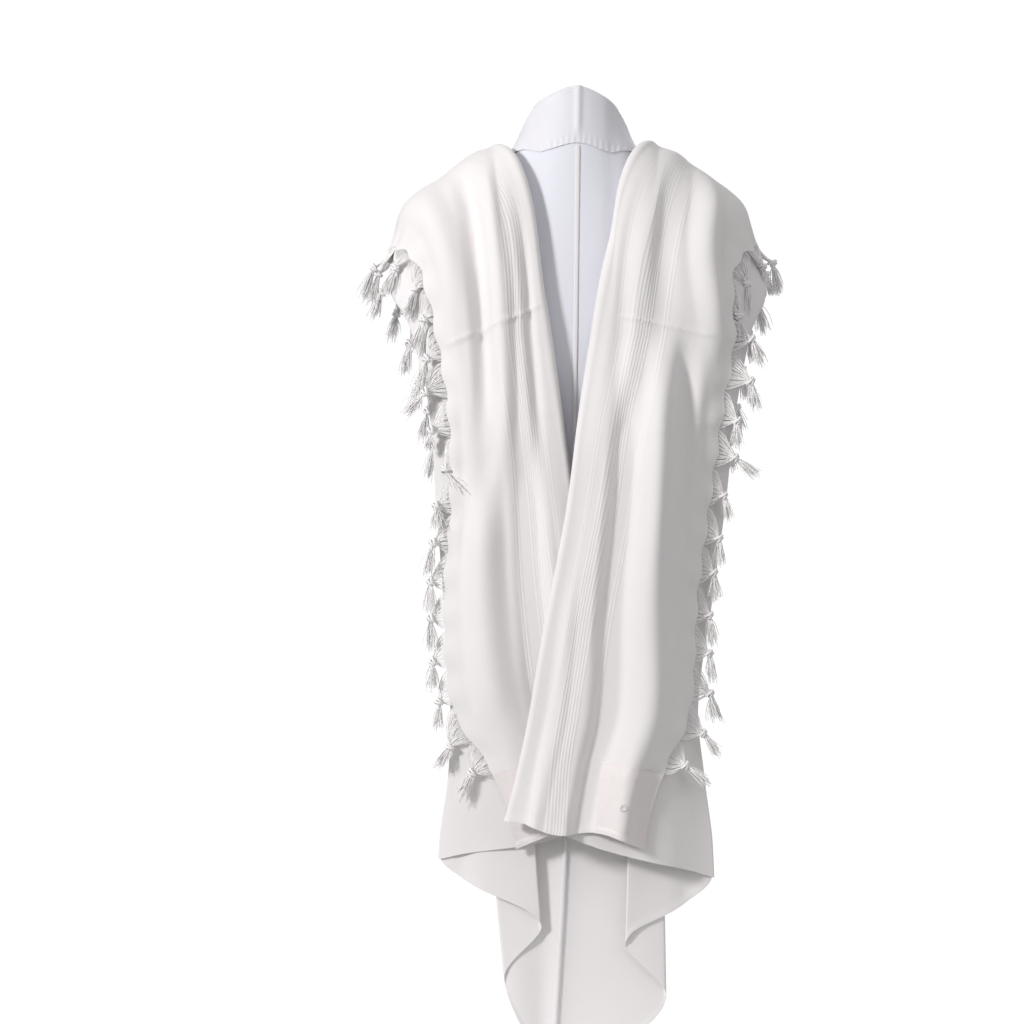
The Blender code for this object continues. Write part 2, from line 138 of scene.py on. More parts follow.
# %% Socket arithmetic
class Sum:
    """A number or vector socket that can be used in expressions."""

    def __init__(self, tree, socket):
        self.tree, self.socket = tree, socket

    def node(self, kind, settings=None, out=0, **values):
        """Adds any node, with its settings first and then the values or links of its sockets."""
        made = self.tree.nodes.new(kind)
        for name, value in (settings or {}).items():
            setattr(made, name, value)
        for name, value in values.items():
            key = int(name[1:]) if name[0] == "_" else name
            target = made.inputs[key]
            if isinstance(value, Sum):
                self.tree.links.new(value.socket, target)
            else:
                target.default_value = value
        return Sum(self.tree, made.outputs[out])

    def maths(self, operation, first, second=0.0):
        return self.node("ShaderNodeMath", {"operation": operation}, _0=first, _1=second)

    def __add__(self, other): return self.maths("ADD", self, other)
    def __radd__(self, other): return self.maths("ADD", other, self)
    def __sub__(self, other): return self.maths("SUBTRACT", self, other)
    def __rsub__(self, other): return self.maths("SUBTRACT", other, self)
    def __mul__(self, other): return self.maths("MULTIPLY", self, other)
    def __rmul__(self, other): return self.maths("MULTIPLY", other, self)

    def wave(self, pitch):
        """A smooth wave from 0 to 1 that repeats every pitch."""
        return self.maths("SINE", self * (2 * pi / pitch)) * 0.5 + 0.5

    def blend(self, low, high):
        """The colour low where this is 0 and high where it is 1."""
        return self.node("ShaderNodeMix", {"data_type": "RGBA"}, out=2, _0=self, _6=low, _7=high)


def new_material(name, **constants):
    """A Principled material with its constant values set on the shader itself."""
    made = bpy.data.materials.new(name)
    made.use_nodes = True
    shader = made.node_tree.nodes["Principled BSDF"]
    for socket, value in constants.items():
        shader.inputs[socket.replace("_", " ")].default_value = value
    return made, Sum(made.node_tree, None), shader


def connect(value, shader, socket):
    value.tree.links.new(value.socket, shader.inputs[socket])

# %% [markdown]
# ## The finishes
#
# Wool for a shawl is a fine twill: two sets of threads cross, and each row steps one thread to
# the side, so faint diagonals show. The cloth carries its own flat coordinates in metres, the
# first across from the centre seam and the second down from the top edge, so the weave runs with
# every fold. Ribs of the stripes are modelled in the cloth; their satin thread shines a little more.

# %% Wool
WOOL_WARM = (0.868, 0.845, 0.845, 1.0)
# The second colour is painted shade: a cool blue-grey that stands in for the shade on the back panel
# near the nape.
WOOL_PAINTED_SHADE = (0.805, 0.815, 0.880, 1.0)
TWILL_PITCH = 0.0016


def flat_place(maker):
    """The cloth's flat coordinates: metres across, metres down."""
    place = maker.node("ShaderNodeUVMap", {"uv_map": "cloth"})
    across, down, _ = maker.node("ShaderNodeSeparateXYZ", Vector=place).socket.node.outputs
    return Sum(maker.tree, across), Sum(maker.tree, down)


def uneven_thread(maker, across, down):
    """Noise drawn out along the threads, because no spun thread is even."""
    place = maker.node("ShaderNodeCombineXYZ", X=across, Y=down)
    return maker.node("ShaderNodeTexNoise", Vector=place, Scale=1.0, Detail=2.0)


wool, maker, shader = new_material("white_wool", Metallic=0.0, Sheen_Weight=0.18,
                                   Sheen_Roughness=0.55, Specular_IOR_Level=0.22)
across, down = flat_place(maker)
twill = (across + down).wave(TWILL_PITCH) * 0.6 + across.wave(TWILL_PITCH / 2) * 0.4
cloud = maker.node("ShaderNodeTexNoise", Vector=maker.node("ShaderNodeTexCoord", out=3),
                   Scale=9.0, Detail=3.0)
slub = uneven_thread(maker, across * 900.0, down * 60.0)
shine = maker.node("ShaderNodeAttribute", {"attribute_name": "satin"}, out=2)
# This attribute says where that painted cool shade is blended into the wool's colour.
painted_shade = maker.node("ShaderNodeAttribute", {"attribute_name": "painted_shade"}, out=2)
colour = painted_shade.blend(WOOL_WARM, WOOL_PAINTED_SHADE)
shade = 0.955 + cloud * 0.05 + slub * 0.025 - twill * 0.015 + shine * 0.02
tone = maker.node("ShaderNodeVectorMath", {"operation": "SCALE"}, _0=colour, Scale=shade)
connect(tone, shader, "Base Color")
connect(0.80 - shine * 0.22 + slub * 0.05, shader, "Roughness")
weave = maker.node("ShaderNodeBump", Strength=0.22, Distance=0.0004, Height=twill + slub * 0.7)
connect(weave, shader, "Normal")
print("wool: twill pitch", TWILL_PITCH * 1000, "mm")

# %% [markdown]
# ### Satin and thread
#
# The neckband and the patches are satin: long floats of thread lie side by side and catch the
# light in one direction. Fine lines along the cloth and a lower roughness give that look. The
# fringe is loose spun thread, so a fine noise roughens it and a high sheen makes it look fluffy.

# %% Satin and thread
FLOAT_PITCH = 0.0011


def satin(name, colour, roughness, sheen):
    """A satin finish whose fine floats run across the piece."""
    made, maker, shader = new_material(name, Metallic=0.0, Sheen_Weight=sheen,
                                       Sheen_Roughness=0.4, Specular_IOR_Level=0.4)
    across, down = flat_place(maker)
    floats = down.wave(FLOAT_PITCH)
    uneven = uneven_thread(maker, across * 40.0, down * 700.0)
    tone = maker.node("ShaderNodeVectorMath", {"operation": "SCALE"}, _0=colour,
                      Scale=0.94 + uneven * 0.08 - floats * 0.02)
    lines = maker.node("ShaderNodeBump", Strength=0.2, Distance=0.0003, Height=floats * 0.5 + uneven)
    connect(tone, shader, "Base Color")
    connect(roughness + uneven * 0.12, shader, "Roughness")
    connect(lines, shader, "Normal")
    return made


# The neckband's cool blue-grey colour is painted shade, as on the back panel; the satin itself is white.
band_satin = satin("band_satin", (0.82, 0.82, 0.865), 0.42, 0.2)
patch_satin = satin("patch_satin", (0.87, 0.825, 0.82), 0.40, 0.15)

thread, maker, shader = new_material("fringe_thread", Metallic=0.0, Sheen_Weight=0.5,
                                     Sheen_Roughness=0.5, Specular_IOR_Level=0.25)
spot = maker.node("ShaderNodeTexCoord", out=3)
fluff = maker.node("ShaderNodeTexNoise", Vector=spot, Scale=900.0, Detail=2.0)
patchy = maker.node("ShaderNodeTexNoise", Vector=spot, Scale=45.0, Detail=1.0)
tone = maker.node("ShaderNodeVectorMath", {"operation": "SCALE"}, _0=(0.99, 0.98, 0.975),
                  Scale=0.93 + patchy * 0.09 + fluff * 0.03)
rough = maker.node("ShaderNodeBump", Strength=0.35, Distance=0.0004, Height=fluff)
connect(tone, shader, "Base Color")
connect(0.66 + fluff * 0.14, shader, "Roughness")
connect(rough, shader, "Normal")
print("finishes:", ", ".join(sorted(m.name for m in bpy.data.materials)))

# %% [markdown]
# ## How the shawl is draped
#
# Nothing stiff holds a shawl up, so its shape is that of the shoulders under it. The figure
# below is a plain table: for each distance from the centre it gives the height of the ridge from
# which the cloth falls, and how far back and forward it hangs. A point on the cloth is then a
# place across, a fall below the ridge, and a stand-off from the figure. A fall is positive down
# the back and negative down the front.

# %% Tables of the figure and of the folds' places
Figure = namedtuple("Figure", "out ridge ridge_y back_y front_y")
FIGURE = [                 # the first row mirrors the third, so the ridge is level at the centre
    Figure(-0.037, 0.069, -0.068, -0.140, 0.102),
    Figure(0.000, 0.080, -0.078, -0.140, 0.100),
    Figure(0.037, 0.069, -0.068, -0.140, 0.102),
    Figure(0.060, 0.047, -0.050, -0.139, 0.105),
    Figure(0.095, -0.012, -0.016, -0.137, 0.110),
    Figure(0.140, -0.046, -0.012, -0.132, 0.112),
    Figure(0.190, -0.081, -0.012, -0.122, 0.104),
    Figure(0.225, -0.107, -0.012, -0.111, 0.091),
    Figure(0.250, -0.150, -0.012, -0.100, 0.078),
    Figure(0.280, -0.203, -0.012, -0.088, 0.064),
    Figure(0.330, -0.270, -0.012, -0.072, 0.048),
]
# Where the pleat's two turns, the outer fold, the inner fold and the fringed edge hang.
Hang = namedtuple("Hang", "fall tuck_far tuck_near outer inner fringe")
RIGHT_HANG = [
    Hang(-0.60, 0.095, 0.125, 0.200, 0.058, 0.203),
    Hang(-0.40, 0.095, 0.125, 0.222, 0.064, 0.222),
    Hang(-0.30, 0.095, 0.125, 0.240, 0.068, 0.238),
    Hang(-0.12, 0.095, 0.125, 0.270, 0.084, 0.258),
    Hang(0.00, 0.095, 0.125, 0.274, 0.095, 0.256),
    Hang(0.10, 0.090, 0.120, 0.281, 0.066, 0.252),
    Hang(0.20, 0.085, 0.115, 0.279, 0.041, 0.228),
    Hang(0.30, 0.080, 0.110, 0.256, 0.021, 0.226),
    Hang(0.42, 0.080, 0.105, 0.230, 0.002, 0.206),
    Hang(0.55, 0.090, 0.098, 0.215, -0.015, 0.187),
    Hang(0.70, 0.105, 0.090, 0.195, -0.041, 0.169),
    Hang(0.85, 0.116, 0.083, 0.174, -0.066, 0.159),
    Hang(0.95, 0.122, 0.079, 0.184, -0.086, 0.115),
    Hang(1.06, 0.128, 0.075, 0.197, -0.108, 0.092),
    Hang(1.40, 0.134, 0.066, 0.205, -0.125, 0.090),
]
LEFT_HANG = [
    Hang(-0.60, 0.095, 0.125, 0.186, 0.052, 0.186),
    Hang(-0.40, 0.095, 0.125, 0.205, 0.060, 0.205),
    Hang(-0.30, 0.095, 0.125, 0.226, 0.066, 0.224),
    Hang(-0.12, 0.095, 0.125, 0.266, 0.088, 0.262),
    Hang(0.00, 0.095, 0.125, 0.270, 0.102, 0.262),
    Hang(0.10, 0.085, 0.115, 0.275, 0.075, 0.252),
    Hang(0.20, 0.080, 0.110, 0.270, 0.056, 0.224),
    Hang(0.30, 0.075, 0.100, 0.240, 0.038, 0.201),
    Hang(0.42, 0.078, 0.095, 0.213, 0.022, 0.182),
    Hang(0.55, 0.088, 0.090, 0.203, 0.004, 0.180),
    Hang(0.70, 0.100, 0.082, 0.192, -0.022, 0.190),
    Hang(0.85, 0.113, 0.074, 0.183, -0.048, 0.177),
    Hang(0.95, 0.120, 0.069, 0.186, -0.068, 0.119),
    Hang(1.06, 0.124, 0.061, 0.199, -0.088, 0.088),
    Hang(1.40, 0.092, 0.036, 0.205, -0.105, 0.085),
]
# How far the two ends of the cloth fall: the hem down the back, the top edge down the front.
Edge = namedtuple("Edge", "path hem top")
RIGHT_EDGE = [
    Edge(0.00, 1.370, 0.000),
    Edge(0.06, 1.355, 0.000),
    Edge(0.12, 1.280, 0.020),
    Edge(0.18, 1.200, 0.110),
    Edge(0.26, 1.155, 0.270),
    Edge(0.34, 1.103, 0.410),
    Edge(0.50, 1.058, 0.400),
    Edge(0.66, 1.012, 0.370),
    Edge(0.75, 1.030, 0.405),
    Edge(0.88, 1.029, 0.470),
    Edge(1.00, 1.054, 0.560),
]
LEFT_EDGE = [
    Edge(0.00, 1.370, 0.000),
    Edge(0.06, 1.350, 0.000),
    Edge(0.12, 1.255, 0.020),
    Edge(0.18, 1.176, 0.120),
    Edge(0.26, 1.125, 0.280),
    Edge(0.34, 1.076, 0.430),
    Edge(0.50, 1.050, 0.415),
    Edge(0.66, 1.012, 0.390),
    Edge(0.75, 1.026, 0.425),
    Edge(0.88, 1.034, 0.490),
    Edge(1.00, 1.057, 0.575),
]
Seam = namedtuple("Seam", "fall x")
SEAM = [Seam(0.0, 0.004), Seam(0.30, -0.002), Seam(0.70, -0.006), Seam(1.06, -0.017),
        Seam(1.40, -0.037)]
BLADE = 0.30               # fall at which the cloth starts to hang plumb
OUTER_PATH, INNER_PATH = 0.34, 0.66     # shares of the way across at the two hanging folds
FAR_PATH, NEAR_PATH = 0.12, 0.18        # and at the two turns of the pleat beside the centre
TURN_PATH, LOOSE_TURN = 0.009, 0.034    # how wide a turn is; how much more where the pleat starts
print(len(RIGHT_HANG), "and", len(LEFT_HANG), "rows place the folds of the two halves")

# %% [markdown]
# ### Folds
#
# Each half is folded twice, so a wing hangs in front of its back stretch. The wing has soft folds
# of its own, no two alike: each row below is one of them, with where it starts and ends across
# the wing, so that it can run plumb while the wing's edges slant. The stripes drift a little too.

# %% Tables of the soft folds, stripes and creases
Fold = namedtuple("Fold", "start_across end_across spread rise start end")
RIGHT_FOLDS = [
    Fold(0.50, 0.96, 0.16, 0.015, 0.00, 0.38),
    Fold(0.74, 1.18, 0.14, -0.015, 0.03, 0.36),
    Fold(0.90, 0.97, 0.08, 0.004, 0.05, 0.26),
    Fold(0.32, 0.50, 0.14, -0.008, 0.07, 0.34),
    Fold(0.16, 0.18, 0.10, -0.005, 0.10, 0.45),
    Fold(0.28, 0.60, 0.15, -0.022, 0.34, 1.20),
    Fold(0.47, 0.88, 0.14, 0.017, 0.28, 1.20),
    Fold(0.62, 0.97, 0.12, -0.013, 0.26, 0.90),
    Fold(0.93, 1.02, 0.09, 0.006, 0.34, 0.70),
    Fold(0.08, 0.22, 0.08, 0.005, 0.62, 1.20),
    Fold(0.45, 0.45, 0.16, 0.010, -0.60, -0.08),
    Fold(0.72, 0.78, 0.12, -0.010, -0.60, -0.10),
    Fold(0.22, 0.20, 0.10, -0.006, -0.60, -0.16),
]
LEFT_FOLDS = [
    Fold(0.72, 0.74, 0.17, 0.014, 0.02, 0.34),
    Fold(0.36, 0.72, 0.12, -0.017, 0.03, 0.48),
    Fold(0.20, 0.56, 0.12, 0.013, 0.06, 0.54),
    Fold(0.06, 0.22, 0.09, -0.007, 0.12, 0.52),
    Fold(0.95, 1.00, 0.10, 0.006, 0.30, 0.62),
    Fold(0.34, 0.38, 0.17, -0.018, 0.44, 0.94),
    Fold(0.26, 0.34, 0.12, 0.006, 0.50, 0.98),
    Fold(0.66, 0.72, 0.10, -0.005, 0.38, 0.58),
    Fold(0.72, 0.70, 0.18, 0.017, 0.48, 0.95),
    Fold(0.84, 0.88, 0.06, -0.005, 0.50, 0.68),
    Fold(0.40, 0.42, 0.15, 0.010, -0.60, -0.08),
    Fold(0.68, 0.70, 0.12, -0.011, -0.60, -0.10),
    Fold(0.20, 0.18, 0.09, -0.005, -0.60, -0.18),
]
Drift = namedtuple("Drift", "fall shift")
RIGHT_DRIFT = [Drift(-0.6, 0.0), Drift(0.05, 0.02), Drift(0.20, 0.07), Drift(0.31, 0.03),
               Drift(0.42, 0.0), Drift(0.58, -0.02), Drift(0.75, -0.05), Drift(0.88, -0.05),
               Drift(1.02, 0.07)]
LEFT_DRIFT = [Drift(-0.6, 0.0), Drift(0.05, -0.04), Drift(0.18, -0.10), Drift(0.31, 0.0),
              Drift(0.47, 0.01), Drift(0.64, 0.015), Drift(1.02, 0.0)]
Crease = namedtuple("Crease", "start start_z end end_z rise")
RIGHT_CREASES = [Crease(0.10, -0.272, 0.82, -0.303, 0.0021),
                 Crease(0.45, -0.449, 0.99, -0.420, 0.0012)]
LEFT_CREASES = [Crease(-0.02, -0.255, 0.95, -0.318, 0.0024),
                Crease(0.0, -0.415, 0.22, -0.420, 0.0012)]
Trough = namedtuple("Trough", "middle slant width depth start end")
BACK_TROUGHS = [
    Trough(0.225, 0.02, 0.022, 0.009, 0.06, 0.46),
    Trough(0.300, -0.008, 0.012, 0.005, 0.30, 1.60),
    Trough(0.060, -0.02, 0.026, 0.006, 0.50, 1.60),
    Trough(0.110, 0.01, 0.014, 0.003, 0.20, 0.70),
]
BACK_SWAY = 0.003          # how far the back layer wavers
FIRST_LAYER = 0.003        # stand-off of the back layer
PLEAT_STEP = 0.007         # between the layers of the pleat
SHOULDER_STEP, HANGING_STEP = 0.011, 0.006      # between the other layers, high and low
ROLL_STEP = 0.007          # what the roll at the inner fold adds
FULLNESS = 0.012           # how far the wing bellies out
CROSS_LIFT = 0.033         # how far the right wing stands out to pass over the left one
CLEARANCE = 0.0045         # the least from the link to the wing over it
CLEARANCE_EASE = 0.003     # how gently a wing settles on that
TASSEL_PITCH = 0.059       # the fringe's knots gather the edge at this pitch
GATHER_ACROSS, GATHER_OUT = 0.0020, 0.0015
BROAD_CRUMPLE, FINE_CRUMPLE = 0.0016, 0.0007
Half = namedtuple("Half", "name sign hang edge folds drift creases lift low_fullness phase")
RIGHT = Half("right", 1, RIGHT_HANG, RIGHT_EDGE, RIGHT_FOLDS, RIGHT_DRIFT, RIGHT_CREASES,
             CROSS_LIFT, FULLNESS, 0.0)
LEFT = Half("left", -1, LEFT_HANG, LEFT_EDGE, LEFT_FOLDS, LEFT_DRIFT, LEFT_CREASES,
            0.0, FULLNESS / 2, 2.1)
print(len(RIGHT_FOLDS) + len(LEFT_FOLDS), "soft folds on the wings")

# %% [markdown]
# ### From tables to points
#
# A smooth curve through a table's rows gives a value between them. These helpers take whole
# arrays of falls at once, since each half has tens of thousands of points.

# %% Curves through the tables, and the figure


def smooth(low, high, at):
    """0 below low, 1 above high, eased between."""
    part = np.clip((np.asarray(at, float) - low) / (high - low), 0.0, 1.0)
    return part * part * (3 - 2 * part)


def read(rows, column, at):
    """A table's column at values of its first column, on a smooth curve through the rows."""
    keys = np.array([row[0] for row in rows])
    values = np.array([getattr(row, column) for row in rows])
    slopes = np.empty(len(keys))
    slopes[1:-1] = (values[2:] - values[:-2]) / (keys[2:] - keys[:-2])
    slopes[0] = (values[1] - values[0]) / (keys[1] - keys[0])
    slopes[-1] = (values[-1] - values[-2]) / (keys[-1] - keys[-2])
    at = np.clip(at, keys[0], keys[-1])
    i = np.clip(np.searchsorted(keys, at, side="right") - 1, 0, len(keys) - 2)
    span = keys[i + 1] - keys[i]
    part = (at - keys[i]) / span
    rise = part * part * (3 - 2 * part)
    bend = slopes[i] * part * (1 - part) ** 2 + slopes[i + 1] * part * part * (part - 1)
    return values[i] + (values[i + 1] - values[i]) * rise + bend * span


def figure_point(x, fall):
    """The carried surface: over the nape near the centre, over the shoulder further out."""
    out = np.abs(x)
    ridge, ridge_y = read(FIGURE, "ridge", out), read(FIGURE, "ridge_y", out)
    plane = np.where(fall >= 0, read(FIGURE, "back_y", out), read(FIGURE, "front_y", out))
    part = np.minimum(np.abs(fall) / BLADE, 1.0)
    height = ridge + BLADE
    arch_y = ridge_y + (plane - ridge_y) * np.sin(part * pi / 2)
    arch_z = ridge - height * (1 - np.cos(part * pi / 2))
    nape_y = plane + (ridge_y - plane) * (1 - part) ** 1.6
    nape_z = ridge - height * part
    outward = smooth(0.045, 0.100, out)
    y = nape_y + (arch_y - nape_y) * outward
    z = nape_z + (arch_z - nape_z) * outward - np.maximum(np.abs(fall) - BLADE, 0.0)
    return np.stack([x + 0 * y, y, z], axis=-1)


def stand_off(x, fall, distance):
    """Points at a distance outside the figure, measured square to its back or its front."""
    step = 0.004
    x, fall = np.broadcast_arrays(np.asarray(x, float), np.asarray(fall, float))
    high = np.where(fall >= 0, np.maximum(fall - step, 0.0), fall - step)
    low = np.where(fall >= 0, fall + step, np.minimum(fall + step, -1e-9))
    over = np.cross(figure_point(x + step, fall) - figure_point(x - step, fall),
                    figure_point(x, low) - figure_point(x, high))
    normal = -over / np.linalg.norm(over, axis=-1, keepdims=True)
    return figure_point(x, fall) + normal * np.asarray(distance)[..., None]


print("nape ridge", round(float(figure_point(0.0, 0.0)[2]), 3), "m, shoulder ridge",
      round(float(figure_point(0.25, 0.0)[2]), 3), "m")

# %% [markdown]
# ### The layers of each half
#
# Seen from above, one half is a flattened S: out along the back, under itself, and out again as
# the wing. Each stretch has a function for its place across and its stand-off. Over the shoulder
# the layers lie apart; lower down they hang close, and the right wing lifts over the left one.

# %% Places and stand-offs of the stretches


def pleat_step(fall):
    """The pleat beside the centre opens out towards the hem."""
    return PLEAT_STEP * smooth(0.28, 0.52, fall)


def layer_step(fall):
    """Layers lie apart over the shoulder and closer where they hang."""
    return SHOULDER_STEP + (HANGING_STEP - SHOULDER_STEP) * smooth(0.32, 0.50, np.abs(fall))


def layers(half, fall, place):
    """Stand-off of the link and of the wing at a place across, towards the half's own side."""
    lift = half.lift * smooth(0.28, 0.50, fall) * (1 - smooth(0.105, 0.190, place))
    inner, outer = read(half.hang, "inner", fall), read(half.hang, "outer", fall)
    near_roll = 1 - smooth(0.0, 0.45, (place - inner) / (outer - inner))
    link = FIRST_LAYER + 2 * pleat_step(fall) + layer_step(fall) + lift
    return link, link + layer_step(fall) + ROLL_STEP * near_roll


def back_sway(half, fall, path):
    """The back layer's own unevenness, away from the seam and from the outer fold."""
    sway = BACK_SWAY * np.sin(path * 34 + half.phase + fall * 2.0) * smooth(0.02, 0.06, path) \
        * (1 - smooth(0.28, 0.33, path)) * smooth(0.25, 0.8, fall)
    below = np.abs(fall)
    for trough in BACK_TROUGHS:
        middle = trough.middle + trough.slant * below + 0.006 * np.sin(fall * 4 + half.phase)
        sway = sway - trough.depth * np.exp(-((path - middle) / trough.width) ** 2) \
            * smooth(trough.start, trough.start + 0.2, below) * (1 - smooth(0.30, 0.335, path)) \
            * (1 - smooth(trough.end - 0.2, trough.end, below))
    return sway


def back_layer(half, fall, path):
    """Place and stand-off of the back layer, from the centre seam to the outer fold."""
    seam = half.sign * read(SEAM, "x", fall)
    far, near = read(half.hang, "tuck_far", fall), read(half.hang, "tuck_near", fall)
    outer = read(half.hang, "outer", fall)
    link, _ = layers(half, fall, outer)
    pleat = pleat_step(fall)
    bend = (link - FIRST_LAYER - 2 * pleat) / 2
    folded = smooth(-0.01, 0.02, far - near)
    stops = [(0.0, seam), (FAR_PATH, far), (NEAR_PATH, near), (OUTER_PATH, outer - bend)]
    for (low, start), (high, end) in zip(stops, stops[1:]):
        if path <= high:
            part = (path - low) / (high - low)
            eased = part + folded * (smooth(0, 1, part) - part)
            place = start + (end - start) * eased
            break
    reach = TURN_PATH + LOOSE_TURN * (1 - folded)
    turns = sum(smooth(turn - reach, turn + reach, path) for turn in (FAR_PATH, NEAR_PATH))
    return place, FIRST_LAYER + pleat * turns + back_sway(half, fall, path)


def link_layer(half, fall, part):
    """Place and stand-off of the link, from the outer fold (0) to the inner fold (1)."""
    inner, outer = read(half.hang, "inner", fall), read(half.hang, "outer", fall)
    link, _ = layers(half, fall, outer)
    start = outer - (link - FIRST_LAYER - 2 * pleat_step(fall)) / 2
    low, high = layers(half, fall, inner)
    place = start + (inner + (high - low) / 2 - start) * part
    return place, layers(half, fall, place)[0]


def fold_rise(half, across, fall):
    """How far the wing's own folds lift it."""
    total = 0.0
    for fold in half.folds:
        along = np.clip((fall - fold.start) / (fold.end - fold.start), 0.0, 1.0)
        middle = fold.start_across + (fold.end_across - fold.start_across) * along
        near = np.maximum(0.0, 1 - ((across - middle) / fold.spread) ** 2)
        total = total + fold.rise * near * near * smooth(fold.start, fold.start + 0.14, fall) \
            * (1 - smooth(fold.end - 0.14, fold.end, fall))
    return total


def crumple(half, across, fall):
    """Shallow unevenness that no hanging cloth is without, long in its fall and short across."""
    wander = 0.22 * np.sin(fall * 3.1 + half.phase)
    broad = np.sin(across * 9.0 + wander * 8 + half.phase) * np.sin(fall * 5.3 + half.phase * 2)
    fine = np.sin(across * 23.0 + fall * 7.0 + half.phase) * np.sin(fall * 13.0 - across * 6.0)
    return BROAD_CRUMPLE * broad + FINE_CRUMPLE * fine


def wing_layer(half, fall, share):
    """Place and stand-off of the wing, from the inner fold (0) to the fringed edge (1)."""
    drift = read(half.drift, "shift", fall) * smooth(0.0, 0.25, share) * (1 - smooth(0.5, 1.0, share))
    across = share + drift
    inner, fringe = read(half.hang, "inner", fall), read(half.hang, "fringe", fall)
    link, wing = layers(half, fall, inner)
    start = inner + (wing - link) / 2
    place = start + (fringe - start) * across
    fullness = FULLNESS + (half.low_fullness - FULLNESS) * smooth(0.40, 0.55, fall)
    fullness = fullness * smooth(0.0, 0.3, across) * (1 - smooth(0.8, 1.0, across))
    below, own = layers(half, fall, place)
    away = smooth(0.0, 0.12, across)
    top, hem = read(half.edge, "top", 1.0), read(half.edge, "hem", 1.0)
    gather = smooth(0.84, 1.0, share) * smooth(0.09, 0.12, fall + top) * smooth(0.09, 0.12, hem - fall)
    turn = 2 * pi * fall / TASSEL_PITCH
    place = place + GATHER_ACROSS * gather * np.cos(turn)
    lifted = own + fullness + (fold_rise(half, across, fall) + crumple(half, across, fall)) * away \
        + GATHER_OUT * gather * np.sin(turn + 1.0)
    slack = lifted - below - CLEARANCE
    return place, below + CLEARANCE + (slack + np.sqrt(slack ** 2 + CLEARANCE_EASE ** 2)) / 2


wing_stands = float(wing_layer(RIGHT, np.array(0.5), 0.5)[1])
print("the wing stands", round(wing_stands * 1000), "mm off the figure")

# %% [markdown]
# ### One curve round a section, and points down it
#
# A column is named by its stretch and its share along that stretch. Where the cloth folds, the
# column lies on a half circle between the two layers that it joins.

# %% Columns of points


def half_circle(first, second, direction, part):
    """Place and stand-off on the half circle from one layer's end to the next one's start."""
    (place, low), (_, high) = first, second
    angle = pi * part - pi / 2
    radius = (high - low) / 2
    return place + direction * radius * cos(angle), (high + low) / 2 + radius * sin(angle)


def section(half, fall, column):
    """Place and stand-off of one column of the cloth at the falls given."""
    kind, part = column
    if kind == "back":
        return back_layer(half, fall, part)
    if kind == "link":
        return link_layer(half, fall, part)
    if kind == "wing":
        return wing_layer(half, fall, part)
    if kind == "outer bend":
        return half_circle(back_layer(half, fall, OUTER_PATH), link_layer(half, fall, 0.0), 1, part)
    return half_circle(link_layer(half, fall, 1.0), wing_layer(half, fall, 0.0), -1, part)


def path_of(column):
    """Share of the way across the half, which sets where a column's two ends lie."""
    kind, part = column
    if kind == "back":
        return part
    if kind == "link":
        return OUTER_PATH + part * (INNER_PATH - OUTER_PATH)
    if kind == "wing":
        return INNER_PATH + part * (1 - INNER_PATH)
    return OUTER_PATH if kind == "outer bend" else INNER_PATH


def falls_of(half, column, downs):
    """Falls below the ridge at shares of the way down from the top edge."""
    path = path_of(column)
    top, hem = read(half.edge, "top", path), read(half.edge, "hem", path)
    return -top + np.asarray(downs) * (top + hem)


def drape(half, columns, downs):
    """A grid of points of the cloth: rows run down, columns across."""
    made = []
    for column in columns:
        falls = falls_of(half, column, downs)
        place, distance = section(half, falls, column)
        made.append(stand_off(half.sign * place, falls, distance))
    return np.stack(made, axis=1)


CUT_WIDTH, CUT_LENGTH = 1.00, 1.45      # each half as it is cut, across and down
corner = drape(RIGHT, [("wing", 1.0)], [1.0])[0, 0]
print("the right wing's fringed edge falls to", round(float(corner[2]), 3), "m")

# %% [markdown]
# ### Giving the cloth its wall
#
# A grid of points becomes cloth when it has two faces and a rim between them. The wall is built
# along the grid's own normals, and a piece sewn on top is moved out by the wall below it, with a
# hair of clearance, so it follows every fold without cutting in.

# %% Sheet builder
WALL = 0.0014
GAP = 0.0003               # the hair of clearance between pieces
SHARP = radians(50)        # an edge that turns more than this is drawn sharp
made_pieces = {}


def grid_normals(points):
    """Unit normals of a grid whose rows run down and whose columns run across."""
    down = np.gradient(points, axis=0)
    across = np.gradient(points, axis=1)
    normal = np.cross(down, across)
    return normal / np.maximum(np.linalg.norm(normal, axis=-1, keepdims=True), 1e-12)


def sheet_faces(rows, columns):
    """Faces of a grid's two sides, numbered one after the other, and of the rim between them."""
    index = np.arange(rows * columns).reshape(rows, columns)
    a, b, c, d = index[:-1, :-1], index[1:, :-1], index[1:, 1:], index[:-1, 1:]
    skin = np.stack([a, b, c, d], axis=-1).reshape(-1, 4)
    rim = np.concatenate([index[0, :], index[1:, -1], index[-1, -2::-1], index[-2:0:-1, 0]])
    after, count = np.roll(rim, -1), rows * columns
    edge = np.stack([rim, after, after + count, rim + count], axis=-1)
    return np.concatenate([skin, skin[:, ::-1] + count, edge])


